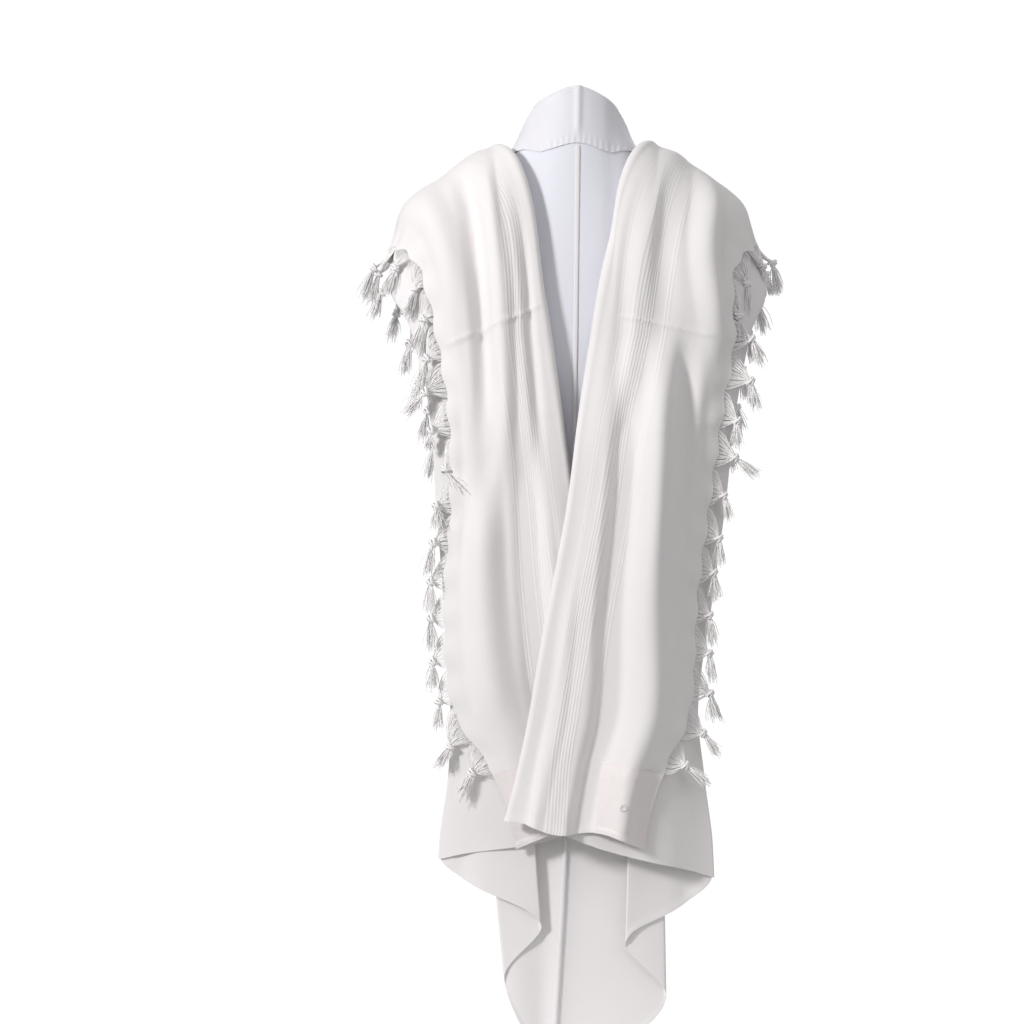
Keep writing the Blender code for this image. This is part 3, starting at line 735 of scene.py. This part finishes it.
def build_sheet(name, points, flat, finish, wall, raised=0.0, tints=None):
    """A closed sheet round a grid; flat holds each point's place on the uncut cloth."""
    rows, columns = points.shape[:2]
    normal = grid_normals(points)
    thick = np.broadcast_to(np.asarray(wall, float), (rows, columns))[..., None]
    raised = np.broadcast_to(np.asarray(raised, float), (rows, columns))[..., None]
    outer = points + normal * (raised + thick)
    inner = points + normal * raised
    faces = sheet_faces(rows, columns)
    mesh = bpy.data.meshes.new(name)
    mesh.from_pydata(np.concatenate([outer, inner]).reshape(-1, 3).tolist(), [], faces.tolist())
    corners = np.empty(len(mesh.loops), int)
    mesh.loops.foreach_get("vertex_index", corners)
    layer = mesh.uv_layers.new(name="cloth")
    layer.uv.foreach_set("vector", np.tile(flat.reshape(-1, 2), (2, 1))[corners].ravel())
    for label, values in (tints or {}).items():
        attribute = mesh.attributes.new(label, "FLOAT", "POINT")
        attribute.data.foreach_set("value", np.tile(values.ravel(), 2).astype(np.float32))
    mesh.materials.append(finish)
    mesh.shade_smooth()
    mesh.set_sharp_from_angle(angle=SHARP)
    made = bpy.data.objects.new(name, mesh)
    bpy.context.scene.collection.objects.link(made)
    made_pieces[name] = made
    print(name, len(faces) * 2, "triangles")
    return made

# %% [markdown]
# ## The two halves
#
# Each half is one uncut sheet, from the centre seam to its fringed edge. Its columns are packed
# closely where something fine happens: at the folds, and on the stripes, where every rib gets a
# crest and a valley of its own. A hem is the edge turned in and stitched, so there the wall swells.

# %% Columns and rows
RIB_PITCH = 0.021          # as a share of the wing
Stripe = namedtuple("Stripe", "middle ribs height")
STRIPES = [Stripe(0.27, 7, 0.00052), Stripe(0.445, 2, 0.00045), Stripe(0.13, 2, 0.0003)]
RIB_COLUMNS = 5


def wing_shares():
    """Shares across the wing, with several columns to a rib."""
    shares = set(np.linspace(0, 1, 50).round(4)) | {0.006, 0.012, 0.985, 0.992}
    for stripe in STRIPES:
        reach = (stripe.ribs + 0.5) * RIB_PITCH / 2
        fine = stripe.middle + np.linspace(-reach, reach, round((stripe.ribs + 0.5) * RIB_COLUMNS))
        shares = {s for s in shares if abs(s - stripe.middle) > reach} | set(fine.round(4))
    return sorted(shares)


def back_paths():
    """Shares across the back layer, closest at the two turns of the pleat."""
    spans = ((0, 0.105, 13), (0.108, 0.132, 9), (0.138, 0.165, 5), (0.168, 0.192, 9),
             (0.20, OUTER_PATH, 14))
    return np.concatenate([np.linspace(*span).round(4) for span in spans])


def columns_on(stretch, parts):
    """Columns of one stretch, at parts of the way along it."""
    return [(stretch, float(part)) for part in parts]


COLUMNS = columns_on("back", back_paths()) \
    + columns_on("outer bend", np.linspace(0, 1, 8)[1:-1]) \
    + columns_on("link", np.linspace(0, 1, 12)) \
    + columns_on("inner bend", np.linspace(0, 1, 10)[1:-1]) \
    + columns_on("wing", wing_shares())
ROWS = np.unique(np.concatenate([np.linspace(0, 0.008, 4), np.linspace(0.008, 0.992, 224),
                                 np.linspace(0.46, 0.55, 40), np.linspace(0.992, 1, 4)]).round(5))
print(len(COLUMNS), "columns and", len(ROWS), "rows:", 4 * len(COLUMNS) * len(ROWS), "triangles a half")

# %% Relief of ribs, creases, hems
CREASE_WIDTH = 0.0026
HEM_SWELL = 0.0011         # what the turned edge adds to the wall
HEM_EDGE, HEM_END = 0.006, 0.0095
BEND_FLAT = 0.004          # share of the cut that a bend takes up


def flat_grid(across, down):
    """A grid of places on the uncut cloth, in metres across and metres down."""
    return np.stack(np.broadcast_arrays(across[None, :], down[:, None]), axis=-1)


def flat_of(columns, downs):
    """Places on the uncut cloth, from the centre seam and from the top edge."""
    across = np.array([path_of(column) + (BEND_FLAT * column[1] if "bend" in column[0] else 0.0)
                       for column in columns]) * CUT_WIDTH
    return flat_grid(across, downs * CUT_LENGTH)


def rib_relief(columns):
    """Height of the stripes' ribs and how satin they are, by column."""
    height, satin_share = np.zeros(len(columns)), np.zeros(len(columns))
    for k, (kind, share) in enumerate(columns):
        if kind != "wing":
            continue
        for stripe in STRIPES:
            reach = stripe.ribs * RIB_PITCH / 2
            if abs(share - stripe.middle) < reach:
                turn = (share - stripe.middle + reach) / RIB_PITCH
                height[k] = stripe.height * sin(pi * turn) ** 2
                satin_share[k] = sin(pi * turn) ** 2
    return height, satin_share


def crease_relief(half, points, columns):
    """Height of the pressed creases, which stay where the shawl was folded away."""
    height = np.zeros(points.shape[:2])
    shares = np.array([part if kind == "wing" else -1.0 for kind, part in columns])
    for crease in half.creases:
        part = (shares - crease.start) / (crease.end - crease.start)
        level = crease.start_z + (crease.end_z - crease.start_z) * part
        ends = smooth(-0.02, 0.10, part) * (1 - smooth(0.90, 1.02, part)) * (shares >= 0)
        facing = points[..., 1] < 0
        near = np.exp(-((points[..., 2] - level) / CREASE_WIDTH) ** 2)
        height += facing * crease.rise * ends * near
    return height


def hem_wall(downs):
    """The wall of the cloth at each row, thicker along the turned hems."""
    to_end = np.minimum(downs, 1 - downs) * CUT_LENGTH
    return (WALL + HEM_SWELL * (1 - smooth(HEM_EDGE, HEM_END, to_end)))[:, None]


print("ribs stand", STRIPES[0].height * 1000, "mm high")

# %% Both halves
PRESSED = 0.6              # share of its wall that the cloth loses inside the pleat


def oriented(half, *grids):
    """Mirrored grids of the left half have their columns turned round, so they face outwards."""
    return grids if half.sign > 0 else tuple(grid[:, ::-1] for grid in grids)


def build_half(half):
    points = drape(half, COLUMNS, ROWS)
    points[:, 0, 0] += half.sign * GAP / 2
    ribs, satin_share = rib_relief(COLUMNS)
    falls = falls_of(half, ("wing", STRIPES[0].middle), ROWS)
    crisp = 0.25 + 0.75 * smooth(0.04, 0.26, np.abs(falls))[:, None]     # lower over the shoulder
    wall = hem_wall(ROWS) + ribs[None, :] * crisp + crease_relief(half, points, COLUMNS)
    paths = np.array([path_of(column) for column in COLUMNS])
    wall = wall * (1 - PRESSED * smooth(0.095, 0.115, paths) * (1 - smooth(0.185, 0.205, paths)))
    # Painted shade: the cool tint lies on the back layer near the centre and the top, and fades out
    # across and down.
    painted_shade = (1 - smooth(0.24, 0.40, paths))[None, :] * (1 - smooth(0.35, 0.70, ROWS))[:, None]
    satin_grid = np.repeat(satin_share[None, :], len(ROWS), axis=0)
    points, flat, wall, painted_shade, satin_grid = oriented(
        half, points, flat_of(COLUMNS, ROWS), wall, painted_shade, satin_grid)
    sheet = build_sheet(f"cloth_{half.name}", points, flat, wool, wall,
                        tints={"painted_shade": painted_shade, "satin": satin_grid})
    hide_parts(f"half_{half.name}_back", f"half_{half.name}_wing")
    return sheet


halves = {half.name: build_half(half) for half in (LEFT, RIGHT)}

# %% [markdown]
# ## Neckband, seam and patches
#
# These pieces are sewn on top of the wool, so each is made from the cloth's own points, moved out
# by the wall below. Between its stitches a band puffs up a little, and at each stitch it is drawn
# in: that slight pucker is what tells the eye that it is sewn.

# %% Neckband
BAND_SHARE = 0.051         # height of the neckband, as a share of the way down
BAND_REACH = 0.182         # how far it is built to each side, as a share of the half
BAND_WALL = 0.0011
BAND_FOLD = 0.0030         # the centre seam below lifts it to a soft ridge
PUCKER_PITCH = 0.0115
STITCH_LINE = 0.007        # from the edge of a sewn piece to the inner side of its stitches


def pucker(along, to_edge, depth):
    """Rise of a sewn piece: low along its edge, puffed there between the stitches."""
    near = np.exp(-(np.maximum(to_edge - STITCH_LINE, 0.0) / 0.005) ** 2)
    puffs = np.sin(along * 2 * pi / PUCKER_PITCH + 2.0 * np.sin(along * 31.0))
    return depth * (1.3 - near) + depth * 0.75 * near * puffs


def both_sides(columns, downs):
    """The same columns of the left half and of the right one."""
    return [drape(half, columns, downs) for half in (LEFT, RIGHT)]


band_downs = np.linspace(0.0, BAND_SHARE, 40)
band_shares = np.linspace(0.0, BAND_REACH, 96)
left_side, right_side = both_sides(columns_on("back", band_shares), band_downs)
middle = (left_side[:, :1] + right_side[:, :1]) / 2
band_points = np.concatenate([left_side[:, :0:-1], middle, right_side[:, 1:]], axis=1)
band_across = np.concatenate([-band_shares[:0:-1], band_shares]) * CUT_WIDTH
to_edge = (BAND_SHARE - band_downs)[:, None] * CUT_LENGTH
band_rise = pucker(band_across[None, :], to_edge, 0.00042) \
    + BAND_FOLD * np.exp(-(band_across / 0.006) ** 2)[None, :] * smooth(0.0, 0.03, to_edge)
neckband = build_sheet("neckband_satin", band_points, flat_grid(band_across, band_downs * CUT_LENGTH),
                       band_satin, BAND_WALL, hem_wall(band_downs) + 2 * GAP + band_rise)
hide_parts("neckband")

# %% Centre seam
SEAM_WIDTH = 0.0065
SEAM_WALL = 0.0006
SEAM_PULL, PULL_PITCH = 0.0004, 0.021   # how its stitches draw it in
SEAM_SHARES = (-1.0, -0.72, -0.4, 0.0, 0.4, 0.72, 1.0)
SEAM_CROWN = (0.0, 0.0006, 0.0009, 0.0007, 0.0009, 0.0006, 0.0)

seam_downs = np.concatenate([[BAND_SHARE + 0.002], ROWS[ROWS > BAND_SHARE + 0.004]])
left_side, right_side = both_sides(columns_on("back", (0.0, 0.012)), seam_downs)
middle = (left_side[:, 0] + right_side[:, 0]) / 2
seam_lines = []
for share in SEAM_SHARES:
    side = (left_side if share < 0 else right_side)[:, 1] - middle
    side /= np.linalg.norm(side, axis=-1, keepdims=True)
    seam_lines.append(middle + side * abs(share) * SEAM_WIDTH / 2)
seam_points = np.stack(seam_lines, axis=1)
seam_down = seam_downs * CUT_LENGTH
seam_flat = flat_grid(np.linspace(-SEAM_WIDTH, SEAM_WIDTH, len(SEAM_SHARES)) / 2, seam_down)
pull = SEAM_PULL * np.sin(seam_down * 2 * pi / PULL_PITCH)[:, None]
# The seam carries a little of the same painted cool shade.
seam = build_sheet("seam_felled", seam_points, seam_flat, wool, SEAM_WALL + np.array(SEAM_CROWN),
                   hem_wall(seam_downs) + 2 * GAP + np.maximum(pull, 0.0),
                   tints={"painted_shade": np.full(seam_points.shape[:2], 0.3),
                          "satin": np.zeros(seam_points.shape[:2])})
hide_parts("centre_seam")

# %% Corner patches
PATCH_WALL = 0.0009
PATCH_START = 0.575        # share of the wing where a patch begins
PATCH_SHARE = 0.068        # height of a patch, as a share of the way down
PATCH_GRID = (56, 64)
PATCH_BILLOW = 0.0006


def patch_rise(points, shares, downs):
    """Rise of a patch: puckered along its edges, with a slight billow in the middle."""
    row, column = PATCH_GRID[0] // 2, PATCH_GRID[1] // 2
    width = np.linalg.norm(points[row, -1] - points[row, 0])
    height = np.linalg.norm(points[-1, column] - points[0, column])
    x = ((shares - PATCH_START) / (1 - PATCH_START) * width)[None, :]
    y = ((downs - downs[0]) / (downs[-1] - downs[0]) * height)[:, None]
    edge_x, edge_y = np.minimum(x, width - x), np.minimum(y, height - y)
    puckers = np.minimum(pucker(y, edge_x, 0.00016), pucker(x, edge_y, 0.00022))
    inside = smooth(0.01, 0.03, edge_x) * smooth(0.01, 0.03, edge_y)
    return np.maximum(puckers + PATCH_BILLOW * np.sin(x * 70 + y * 45) * inside, 0.0)


def build_patch(half, place):
    start = 1 - PATCH_SHARE if place == "back" else 0.0
    downs = np.linspace(start, start + PATCH_SHARE, PATCH_GRID[0])
    shares = np.linspace(PATCH_START, 1.0, PATCH_GRID[1])
    columns = columns_on("wing", shares)
    points = drape(half, columns, downs)
    raised = hem_wall(downs) + 3 * GAP + patch_rise(points, shares, downs)
    points, flat, raised = oriented(half, points, flat_of(columns, downs), raised)
    name = f"patch_{half.name}_{place}"
    patch = build_sheet(name + "_satin", points, flat, patch_satin, PATCH_WALL, raised)
    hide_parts(name)
    return patch


patches = {(half.name, place): build_patch(half, place)
           for half in (LEFT, RIGHT) for place in ("back", "front")}

# %% [markdown]
# ## Stitches
#
# A seam is a row of short threads, each sinking in at both ends. One small stitch is modelled
# once and instanced along a path that lies on the cloth. Geometry Nodes do this well: resample
# the path at the stitch pitch, turn each point along it, and put the stitch there.

# %% Stitch nodes


def tree_with(name, inputs):
    """A new node tree with a geometry input, the named inputs asked for, and a geometry output."""
    tree = bpy.data.node_groups.new(name, "GeometryNodeTree")
    tree.interface.new_socket("Geometry", in_out="INPUT", socket_type="NodeSocketGeometry")
    for label, kind, value in inputs:
        made = tree.interface.new_socket(label, in_out="INPUT", socket_type=f"NodeSocket{kind}")
        if value is not None:
            made.default_value = value
    tree.interface.new_socket("Geometry", in_out="OUTPUT", socket_type="NodeSocketGeometry")
    start, end = tree.nodes.new("NodeGroupInput"), tree.nodes.new("NodeGroupOutput")
    return tree, {socket.name: Sum(tree, socket) for socket in start.outputs}, Sum(tree, None), end


def finish_tree(tree, maker, geometry, material, end):
    """Every tree ends by making its instances real and giving them their finish."""
    real = maker.node("GeometryNodeRealizeInstances", _0=geometry)
    coated = maker.node("GeometryNodeSetMaterial", Geometry=real, Material=material)
    tree.links.new(coated.socket, end.inputs[0])


def run_tree(name, base, tree, values):
    """Runs a tree on a base mesh and keeps its result as a plain mesh."""
    holder = bpy.data.objects.new(name + "_paths", base)
    bpy.context.scene.collection.objects.link(holder)
    modifier = holder.modifiers.new(name, "NODES")
    modifier.node_group = tree
    for item in tree.interface.items_tree:
        if item.in_out == "INPUT" and item.name in values:
            modifier[item.identifier] = values[item.name]
    graph = bpy.context.evaluated_depsgraph_get()
    mesh = bpy.data.meshes.new_from_object(holder.evaluated_get(graph), depsgraph=graph)
    mesh.name = name
    bpy.data.objects.remove(holder)
    mesh.shade_smooth()
    made = bpy.data.objects.new(name, mesh)
    bpy.context.scene.collection.objects.link(made)
    made_pieces[name] = made
    mesh.calc_loop_triangles()
    print(name, len(mesh.loop_triangles), "triangles")
    return made


def stitches_at(maker, points, along, length, thread, height):
    """One small stitch at each point: its length along a direction, its top away from the cloth."""
    away = maker.node("GeometryNodeInputNamedAttribute", {"data_type": "FLOAT_VECTOR"}, Name="out")
    turn = maker.node("FunctionNodeAlignRotationToVector", {"axis": "X"}, Vector=along)
    turn = maker.node("FunctionNodeAlignRotationToVector", {"axis": "Z", "pivot_axis": "X"},
                      Rotation=turn, Vector=away)
    ball = maker.node("GeometryNodeMeshUVSphere", Segments=6, Rings=4, Radius=1.0)
    size = maker.node("ShaderNodeCombineXYZ", X=length * 0.5, Y=thread, Z=height)
    return maker.node("GeometryNodeInstanceOnPoints", Points=points, Instance=ball,
                      Rotation=turn, Scale=size)


stitch_tree, given, maker, end = tree_with("stitch_row", [
    ("Pitch", "Float", 0.005), ("Length", "Float", 0.0036), ("Thread", "Float", 0.0004),
    ("Material", "Material", None)])
line = maker.node("GeometryNodeMeshToCurve", Mesh=given["Geometry"])
path = maker.node("GeometryNodeResampleCurve", {"mode": "LENGTH"}, Curve=line, Length=given["Pitch"])
stitches = stitches_at(maker, path, maker.node("GeometryNodeInputTangent"),
                       given["Length"], given["Thread"], given["Thread"] * 0.9)
finish_tree(stitch_tree, maker, stitches, given["Material"], end)
print("stitch tree:", len(stitch_tree.nodes), "nodes")

# %% Stitch paths
STITCH_LIFT = 0.0001
STITCH_INSET = 3           # rows or columns from a patch's edge to its stitches
BAND_SEWING = {"Pitch": 0.0052, "Length": 0.0036, "Thread": 0.00042, "Material": thread}
PATCH_SEWING = {"Pitch": 0.0040, "Length": 0.0027, "Thread": 0.00035, "Material": thread}


def path_mesh(name, paths, outs):
    """Polylines as one mesh of edges, with the direction away from the cloth at each point."""
    points = np.concatenate(paths)
    starts = np.cumsum([0] + [len(p) for p in paths])
    edges = [(k, k + 1) for s, e in zip(starts, starts[1:]) for k in range(s, e - 1)]
    mesh = bpy.data.meshes.new(name)
    mesh.from_pydata(points.tolist(), edges, [])
    attribute = mesh.attributes.new("out", "FLOAT_VECTOR", "POINT")
    attribute.data.foreach_set("vector", np.concatenate(outs).astype(np.float32).ravel())
    return mesh


def on_sheet(piece, grid):
    """Grids of points and normals on the outer face of a finished sheet."""
    points = np.empty(len(piece.data.vertices) * 3)
    piece.data.vertices.foreach_get("co", points)
    points = points.reshape(-1, 3)[:grid[0] * grid[1]].reshape(*grid, 3)
    return points, grid_normals(points)


def sew(name, sheets, grid, picks, sewing):
    """Stitches along the rows and columns picked on each sheet."""
    paths, outs = [], []
    for sheet in sheets:
        points, normals = on_sheet(sheet, grid)
        for pick in picks:
            paths.append(points[pick] + normals[pick] * STITCH_LIFT)
            outs.append(normals[pick])
    return run_tree(name, path_mesh(name + "_lines", paths, outs), stitch_tree, sewing)


band_stitches = sew("stitches_band", [neckband], band_points.shape[:2],
                    [(-3, slice(None)), (1, slice(None))], BAND_SEWING)
first, last, between = STITCH_INSET, -1 - STITCH_INSET, slice(STITCH_INSET, -STITCH_INSET)
for half in (LEFT, RIGHT):
    sew(f"stitches_patch_{half.name}", [patches[half.name, place] for place in ("back", "front")],
        PATCH_GRID, [(first, between), (last, between), (between, first), (between, last)], PATCH_SEWING)

# %% [markdown]
# ## Eyelets
#
# Each patch has a worked eyelet, a small hole bound by stitches that point to its middle. The
# ring is the same stitch again, set round a circle and turned across it. The hole, which no cord
# fills here, is left closed.

# %% Eyelets
EYELET_RADIUS = 0.0052
EYELET_STITCHES = 30
EYELET_ROW = {"back": 31, "front": 25}
EYELET_COLUMN = 27         # counted from the side that faces the centre
eyelet_tree, given, maker, end = tree_with("eyelet_ring", [
    ("Length", "Float", 0.0040), ("Thread", "Float", 0.0005), ("Material", "Material", None)])
inward = maker.node("GeometryNodeInputNamedAttribute", {"data_type": "FLOAT_VECTOR"}, Name="inward")
ring = stitches_at(maker, given["Geometry"], inward, given["Length"], given["Thread"], given["Thread"])
finish_tree(eyelet_tree, maker, ring, given["Material"], end)


def eyelet_points(piece, row, column):
    """Points round an eyelet on a patch, with their directions in and away."""
    points, normals = on_sheet(piece, PATCH_GRID)
    centre, normal = points[row, column], normals[row, column]
    side = points[row, column + 1] - centre
    side /= np.linalg.norm(side)
    up = np.cross(normal, side)
    turns = np.linspace(0, 2 * pi, EYELET_STITCHES + 1)[:-1, None]
    inward = -(side * np.cos(turns) + up * np.sin(turns))
    points = centre - inward * EYELET_RADIUS * 0.75 + normal * 0.0002
    return points, inward, np.repeat(normal[None], EYELET_STITCHES, axis=0)


for half in (LEFT, RIGHT):
    column = EYELET_COLUMN if half.sign > 0 else PATCH_GRID[1] - 1 - EYELET_COLUMN
    rings = [eyelet_points(patches[half.name, place], row, column) for place, row in EYELET_ROW.items()]
    points, inward, outs = [np.concatenate(part) for part in zip(*rings)]
    base = bpy.data.meshes.new("eyelet_points")
    base.from_pydata(points.tolist(), [], [])
    for label, vectors in (("inward", inward), ("out", outs)):
        attribute = base.attributes.new(label, "FLOAT_VECTOR", "POINT")
        attribute.data.foreach_set("vector", vectors.astype(np.float32).ravel())
    run_tree(f"eyelets_{half.name}", base, eyelet_tree, {"Material": patch_satin})

# %% [markdown]
# ## The knotted fringe
#
# The short edges are not hemmed: the weft is drawn out, and the loose threads are gathered in
# bunches and knotted. Every bunch is a fan from the cloth's edge to a knot, and a tail below it.
# The threads' paths are plain arithmetic with a fixed seed; a node tree turns them into threads.

# %% Thread and knot nodes
thread_tree, given, maker, end = tree_with("loose_threads", [
    ("Radius", "Float", 0.0005), ("Sides", "Int", 4), ("Fluff", "Float", 0.0006), ("Seed", "Int", 7),
    ("Material", "Material", None)])
spot = maker.node("GeometryNodeInputPosition")
noise = maker.node("ShaderNodeTexNoise", {"noise_dimensions": "4D"}, out=1, Vector=spot, Scale=140.0,
                   Detail=1.0, W=given["Seed"])
shifted = maker.node("ShaderNodeVectorMath", {"operation": "SUBTRACT"}, _0=noise, _1=(0.5, 0.5, 0.5))
shifted = maker.node("ShaderNodeVectorMath", {"operation": "SCALE"}, _0=shifted,
                     Scale=given["Fluff"] * 4.0)
line = maker.node("GeometryNodeMeshToCurve", Mesh=given["Geometry"])
line = maker.node("GeometryNodeSetPosition", Geometry=line, Offset=shifted)
width = maker.node("GeometryNodeInputNamedAttribute", {"data_type": "FLOAT"}, Name="width")
line = maker.node("GeometryNodeSetCurveRadius", _0=line, Radius=width)
strand = maker.node("GeometryNodeCurvePrimitiveCircle", Resolution=given["Sides"],
                    Radius=given["Radius"])
tubes = maker.node("GeometryNodeCurveToMesh", _0=line, _1=strand, Scale=width, **{"Fill Caps": True})
finish_tree(thread_tree, maker, tubes, given["Material"], end)
print("thread tree:", len(thread_tree.nodes), "nodes")

# %% Tassels
FAN_THREADS, TAIL_THREADS = 28, 62
THREAD_RADIUS = 0.00056
THREAD_POINTS = 7
KNOT_RADIUS = 0.0060
KNOT_POINTS = 21
FAN_SHARE = 0.94           # share of the pitch from which a tassel draws its threads
TAIL_SPREAD = 0.0036
SWING_SPREAD = 0.14        # how much one tassel's swing differs from the next one's
TAIL_GROWTH = 1.12         # how much further down tails reach than their rows say
# Where a knot hangs from the edge, outwards and down, and where its tail ends from the knot.
Swing = namedtuple("Swing", "fall out drop tail_out tail_drop")
RIGHT_SWINGS = [
    Swing(-0.60, 0.016, 0.022, 0.004, 0.036),
    Swing(0.00, 0.016, 0.020, 0.006, 0.036),
    Swing(0.08, 0.008, 0.026, 0.000, 0.036),
    Swing(0.14, 0.010, 0.026, -0.002, 0.040),
    Swing(0.22, -0.004, 0.030, 0.002, 0.040),
    Swing(0.32, 0.020, 0.016, 0.012, 0.030),
    Swing(0.40, 0.012, 0.020, -0.006, 0.034),
    Swing(0.46, 0.020, 0.014, 0.026, 0.020),
    Swing(0.52, 0.010, 0.018, 0.004, 0.034),
    Swing(0.66, 0.010, 0.016, 0.002, 0.034),
    Swing(0.80, 0.014, 0.016, 0.006, 0.030),
    Swing(0.88, 0.020, 0.018, 0.024, 0.026),
    Swing(1.10, 0.016, 0.018, 0.012, 0.030),
]
LEFT_SWINGS = [
    Swing(-0.60, 0.016, 0.022, 0.004, 0.036),
    Swing(0.00, 0.014, 0.024, 0.012, 0.036),
    Swing(0.10, 0.010, 0.028, 0.012, 0.034),
    Swing(0.18, 0.002, 0.030, 0.014, 0.032),
    Swing(0.30, 0.008, 0.028, 0.012, 0.036),
    Swing(0.40, 0.024, 0.014, 0.020, 0.026),
    Swing(0.46, -0.002, 0.026, -0.026, 0.022),
    Swing(0.56, 0.014, 0.016, 0.006, 0.036),
    Swing(0.66, 0.012, 0.014, 0.000, 0.034),
    Swing(0.80, 0.006, 0.018, 0.002, 0.030),
    Swing(0.90, 0.008, 0.024, 0.016, 0.026),
    Swing(1.10, 0.012, 0.022, 0.006, 0.032),
]


def fringe_edge(half):
    """The cloth's outer face along the fringed edge, between the patches, evenly spaced."""
    downs = np.linspace(PATCH_SHARE, 1 - PATCH_SHARE, 900)
    edge = drape(half, [("wing", 0.993), ("wing", 1.0)], downs)
    falls = falls_of(half, ("wing", 1.0), downs)
    lengths = np.concatenate([[0], np.cumsum(np.linalg.norm(np.diff(edge[:, 1], axis=0), axis=1))])
    outward = edge[:, 1] - edge[:, 0]
    outward /= np.linalg.norm(outward, axis=1, keepdims=True)
    along = np.gradient(edge[:, 1], axis=0)
    face = np.cross(along, outward) * half.sign
    face /= np.linalg.norm(face, axis=1, keepdims=True)
    return edge[:, 1], falls, lengths, outward, face


def thread_line(start, first_way, end):
    """A thread that leaves its start along first_way and bends to its end."""
    t = np.linspace(0, 1, THREAD_POINTS)[:, None]
    middle = start + first_way * np.linalg.norm(end - start) * 0.45
    return (1 - t) ** 2 * start + 2 * t * (1 - t) * middle + t * t * end


def tassel_lines(half, swings, seed):
    """Paths and widths of all threads of one side's fringe."""
    chance = np.random.default_rng(seed)
    edge, falls, lengths, outward, face = fringe_edge(half)
    count = round(lengths[-1] / TASSEL_PITCH)
    pitch = lengths[-1] / count
    side, drop = np.array([half.sign, 0.0, 0.0]), np.array([0.0, 0.0, -1.0])
    lines, widths, knots = [], [], []
    for k in range(count):
        centre = (k + 0.5) * pitch
        at = int(np.searchsorted(lengths, centre))
        out, down, tail_out, tail_down = [
            float(read(swings, column, falls[at])) * (1 + SWING_SPREAD * chance.standard_normal())
            for column in Swing._fields[1:]]
        knot = edge[at] + outward[at] * 0.007 + side * out + drop * down + face[at] * 0.004
        tail = knot + side * tail_out + drop * (tail_down * TAIL_GROWTH) + face[at] * 0.002
        heading = (knot - edge[at]) / np.linalg.norm(knot - edge[at])
        length = np.linalg.norm(tail - knot)
        way = (tail - knot) / length
        knots.append((knot, heading))
        for j in range(FAN_THREADS):
            place = centre + (j / (FAN_THREADS - 1) - 0.5) * pitch * FAN_SHARE
            root = int(np.clip(np.searchsorted(lengths, place), 0, len(edge) - 1))
            start = edge[root] - outward[root] * 0.002 + face[root] * 0.0008
            close = knot + chance.normal(0, 0.0011, 3) - heading * 0.002
            lines.append(thread_line(start, outward[root] * 0.8 + drop * 0.3, close))
            widths.append(np.linspace(0.9, 1.15, THREAD_POINTS))
        for _ in range(TAIL_THREADS):
            spread = chance.normal(0, TAIL_SPREAD, 3) + way * chance.uniform(-0.16, 0.06) * length
            start = knot + chance.normal(0, 0.0010, 3) + way * 0.002
            lines.append(thread_line(start, way + spread * 60, tail + spread * 1.25))
            widths.append(np.linspace(1.1, 0.75, THREAD_POINTS))
    return lines, widths, knots


def lines_mesh(name, lines, widths):
    """Threads' paths as one mesh of edges, with each thread's width along it."""
    mesh = path_mesh(name, lines, [np.zeros_like(line) for line in lines])
    attribute = mesh.attributes.new("width", "FLOAT", "POINT")
    attribute.data.foreach_set("value", np.concatenate(widths).astype(np.float32))
    return mesh


def knot_lines(knots):
    """An overhand knot: three turns wound round each bunch, crossing over one another."""
    lines, widths = [], []
    t = np.linspace(0, 2 * pi, KNOT_POINTS)[:, None]
    for knot, heading in knots:
        side = np.cross(heading, [0.3, 1.0, 0.2])
        side /= np.linalg.norm(side)
        other = np.cross(heading, side)
        for turn, (lean, shift) in enumerate(((0.55, -0.0022), (-0.5, 0.0004), (0.25, 0.0030))):
            ring = (side * np.cos(t) + other * np.sin(t)) * KNOT_RADIUS * (1.0 - 0.12 * turn)
            lines.append(knot + ring + heading * (shift + lean * KNOT_RADIUS * 0.6 * np.cos(t + turn)))
            widths.append(np.full(KNOT_POINTS, 4.2 - 0.5 * turn))
    return lines, widths


for half, swings, seed in ((LEFT, LEFT_SWINGS, 5), (RIGHT, RIGHT_SWINGS, 11)):
    lines, widths, knots = tassel_lines(half, swings, seed)
    turns, wide = knot_lines(knots)
    base = lines_mesh("thread_paths", lines + turns, widths + wide)
    fringe = run_tree(f"fringe_threads_{half.name}", base, thread_tree,
                      {"Radius": THREAD_RADIUS, "Material": thread})
    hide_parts(f"fringe_{half.name}")
    print(len(knots), "tassels on the", half.name)

# %% [markdown]
# ## Ground, and the end of the lesson
#
# The shawl is worn, so it hangs a shoulder's height over the floor. The floor belongs to the
# stage and not to the shawl. Last, every piece is tied to the frame's one body.

# %% Floor
FLOOR_RADIUS = 0.62        # a plain round of floor under the shawl
FLOOR_SIDES = 96
SHOULDER_HEIGHT = 1.50     # how high the shawl's shoulders stand over the floor
floor_z = rest.z - SHOULDER_HEIGHT
turns = np.linspace(0, 2 * pi, FLOOR_SIDES + 1)[:-1]
corners = [(FLOOR_RADIUS * cos(t), FLOOR_RADIUS * sin(t), floor_z) for t in turns]
floor_mesh = bpy.data.meshes.new("floor")
floor_mesh.from_pydata(corners, [], [tuple(range(FLOOR_SIDES))])
floor = bpy.data.objects.new("floor", floor_mesh)
bpy.context.scene.collection.objects.link(floor)
pale, _, _ = new_material("pale_floor", Base_Color=(0.95, 0.95, 0.95, 1.0), Roughness=0.9)
floor_mesh.materials.append(pale)
print("floor at", round(floor_z, 2), "m")

# %% Tie the pieces to the frame
for piece in made_pieces.values():
    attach(piece, "root")

print(len(made_pieces), "pieces")
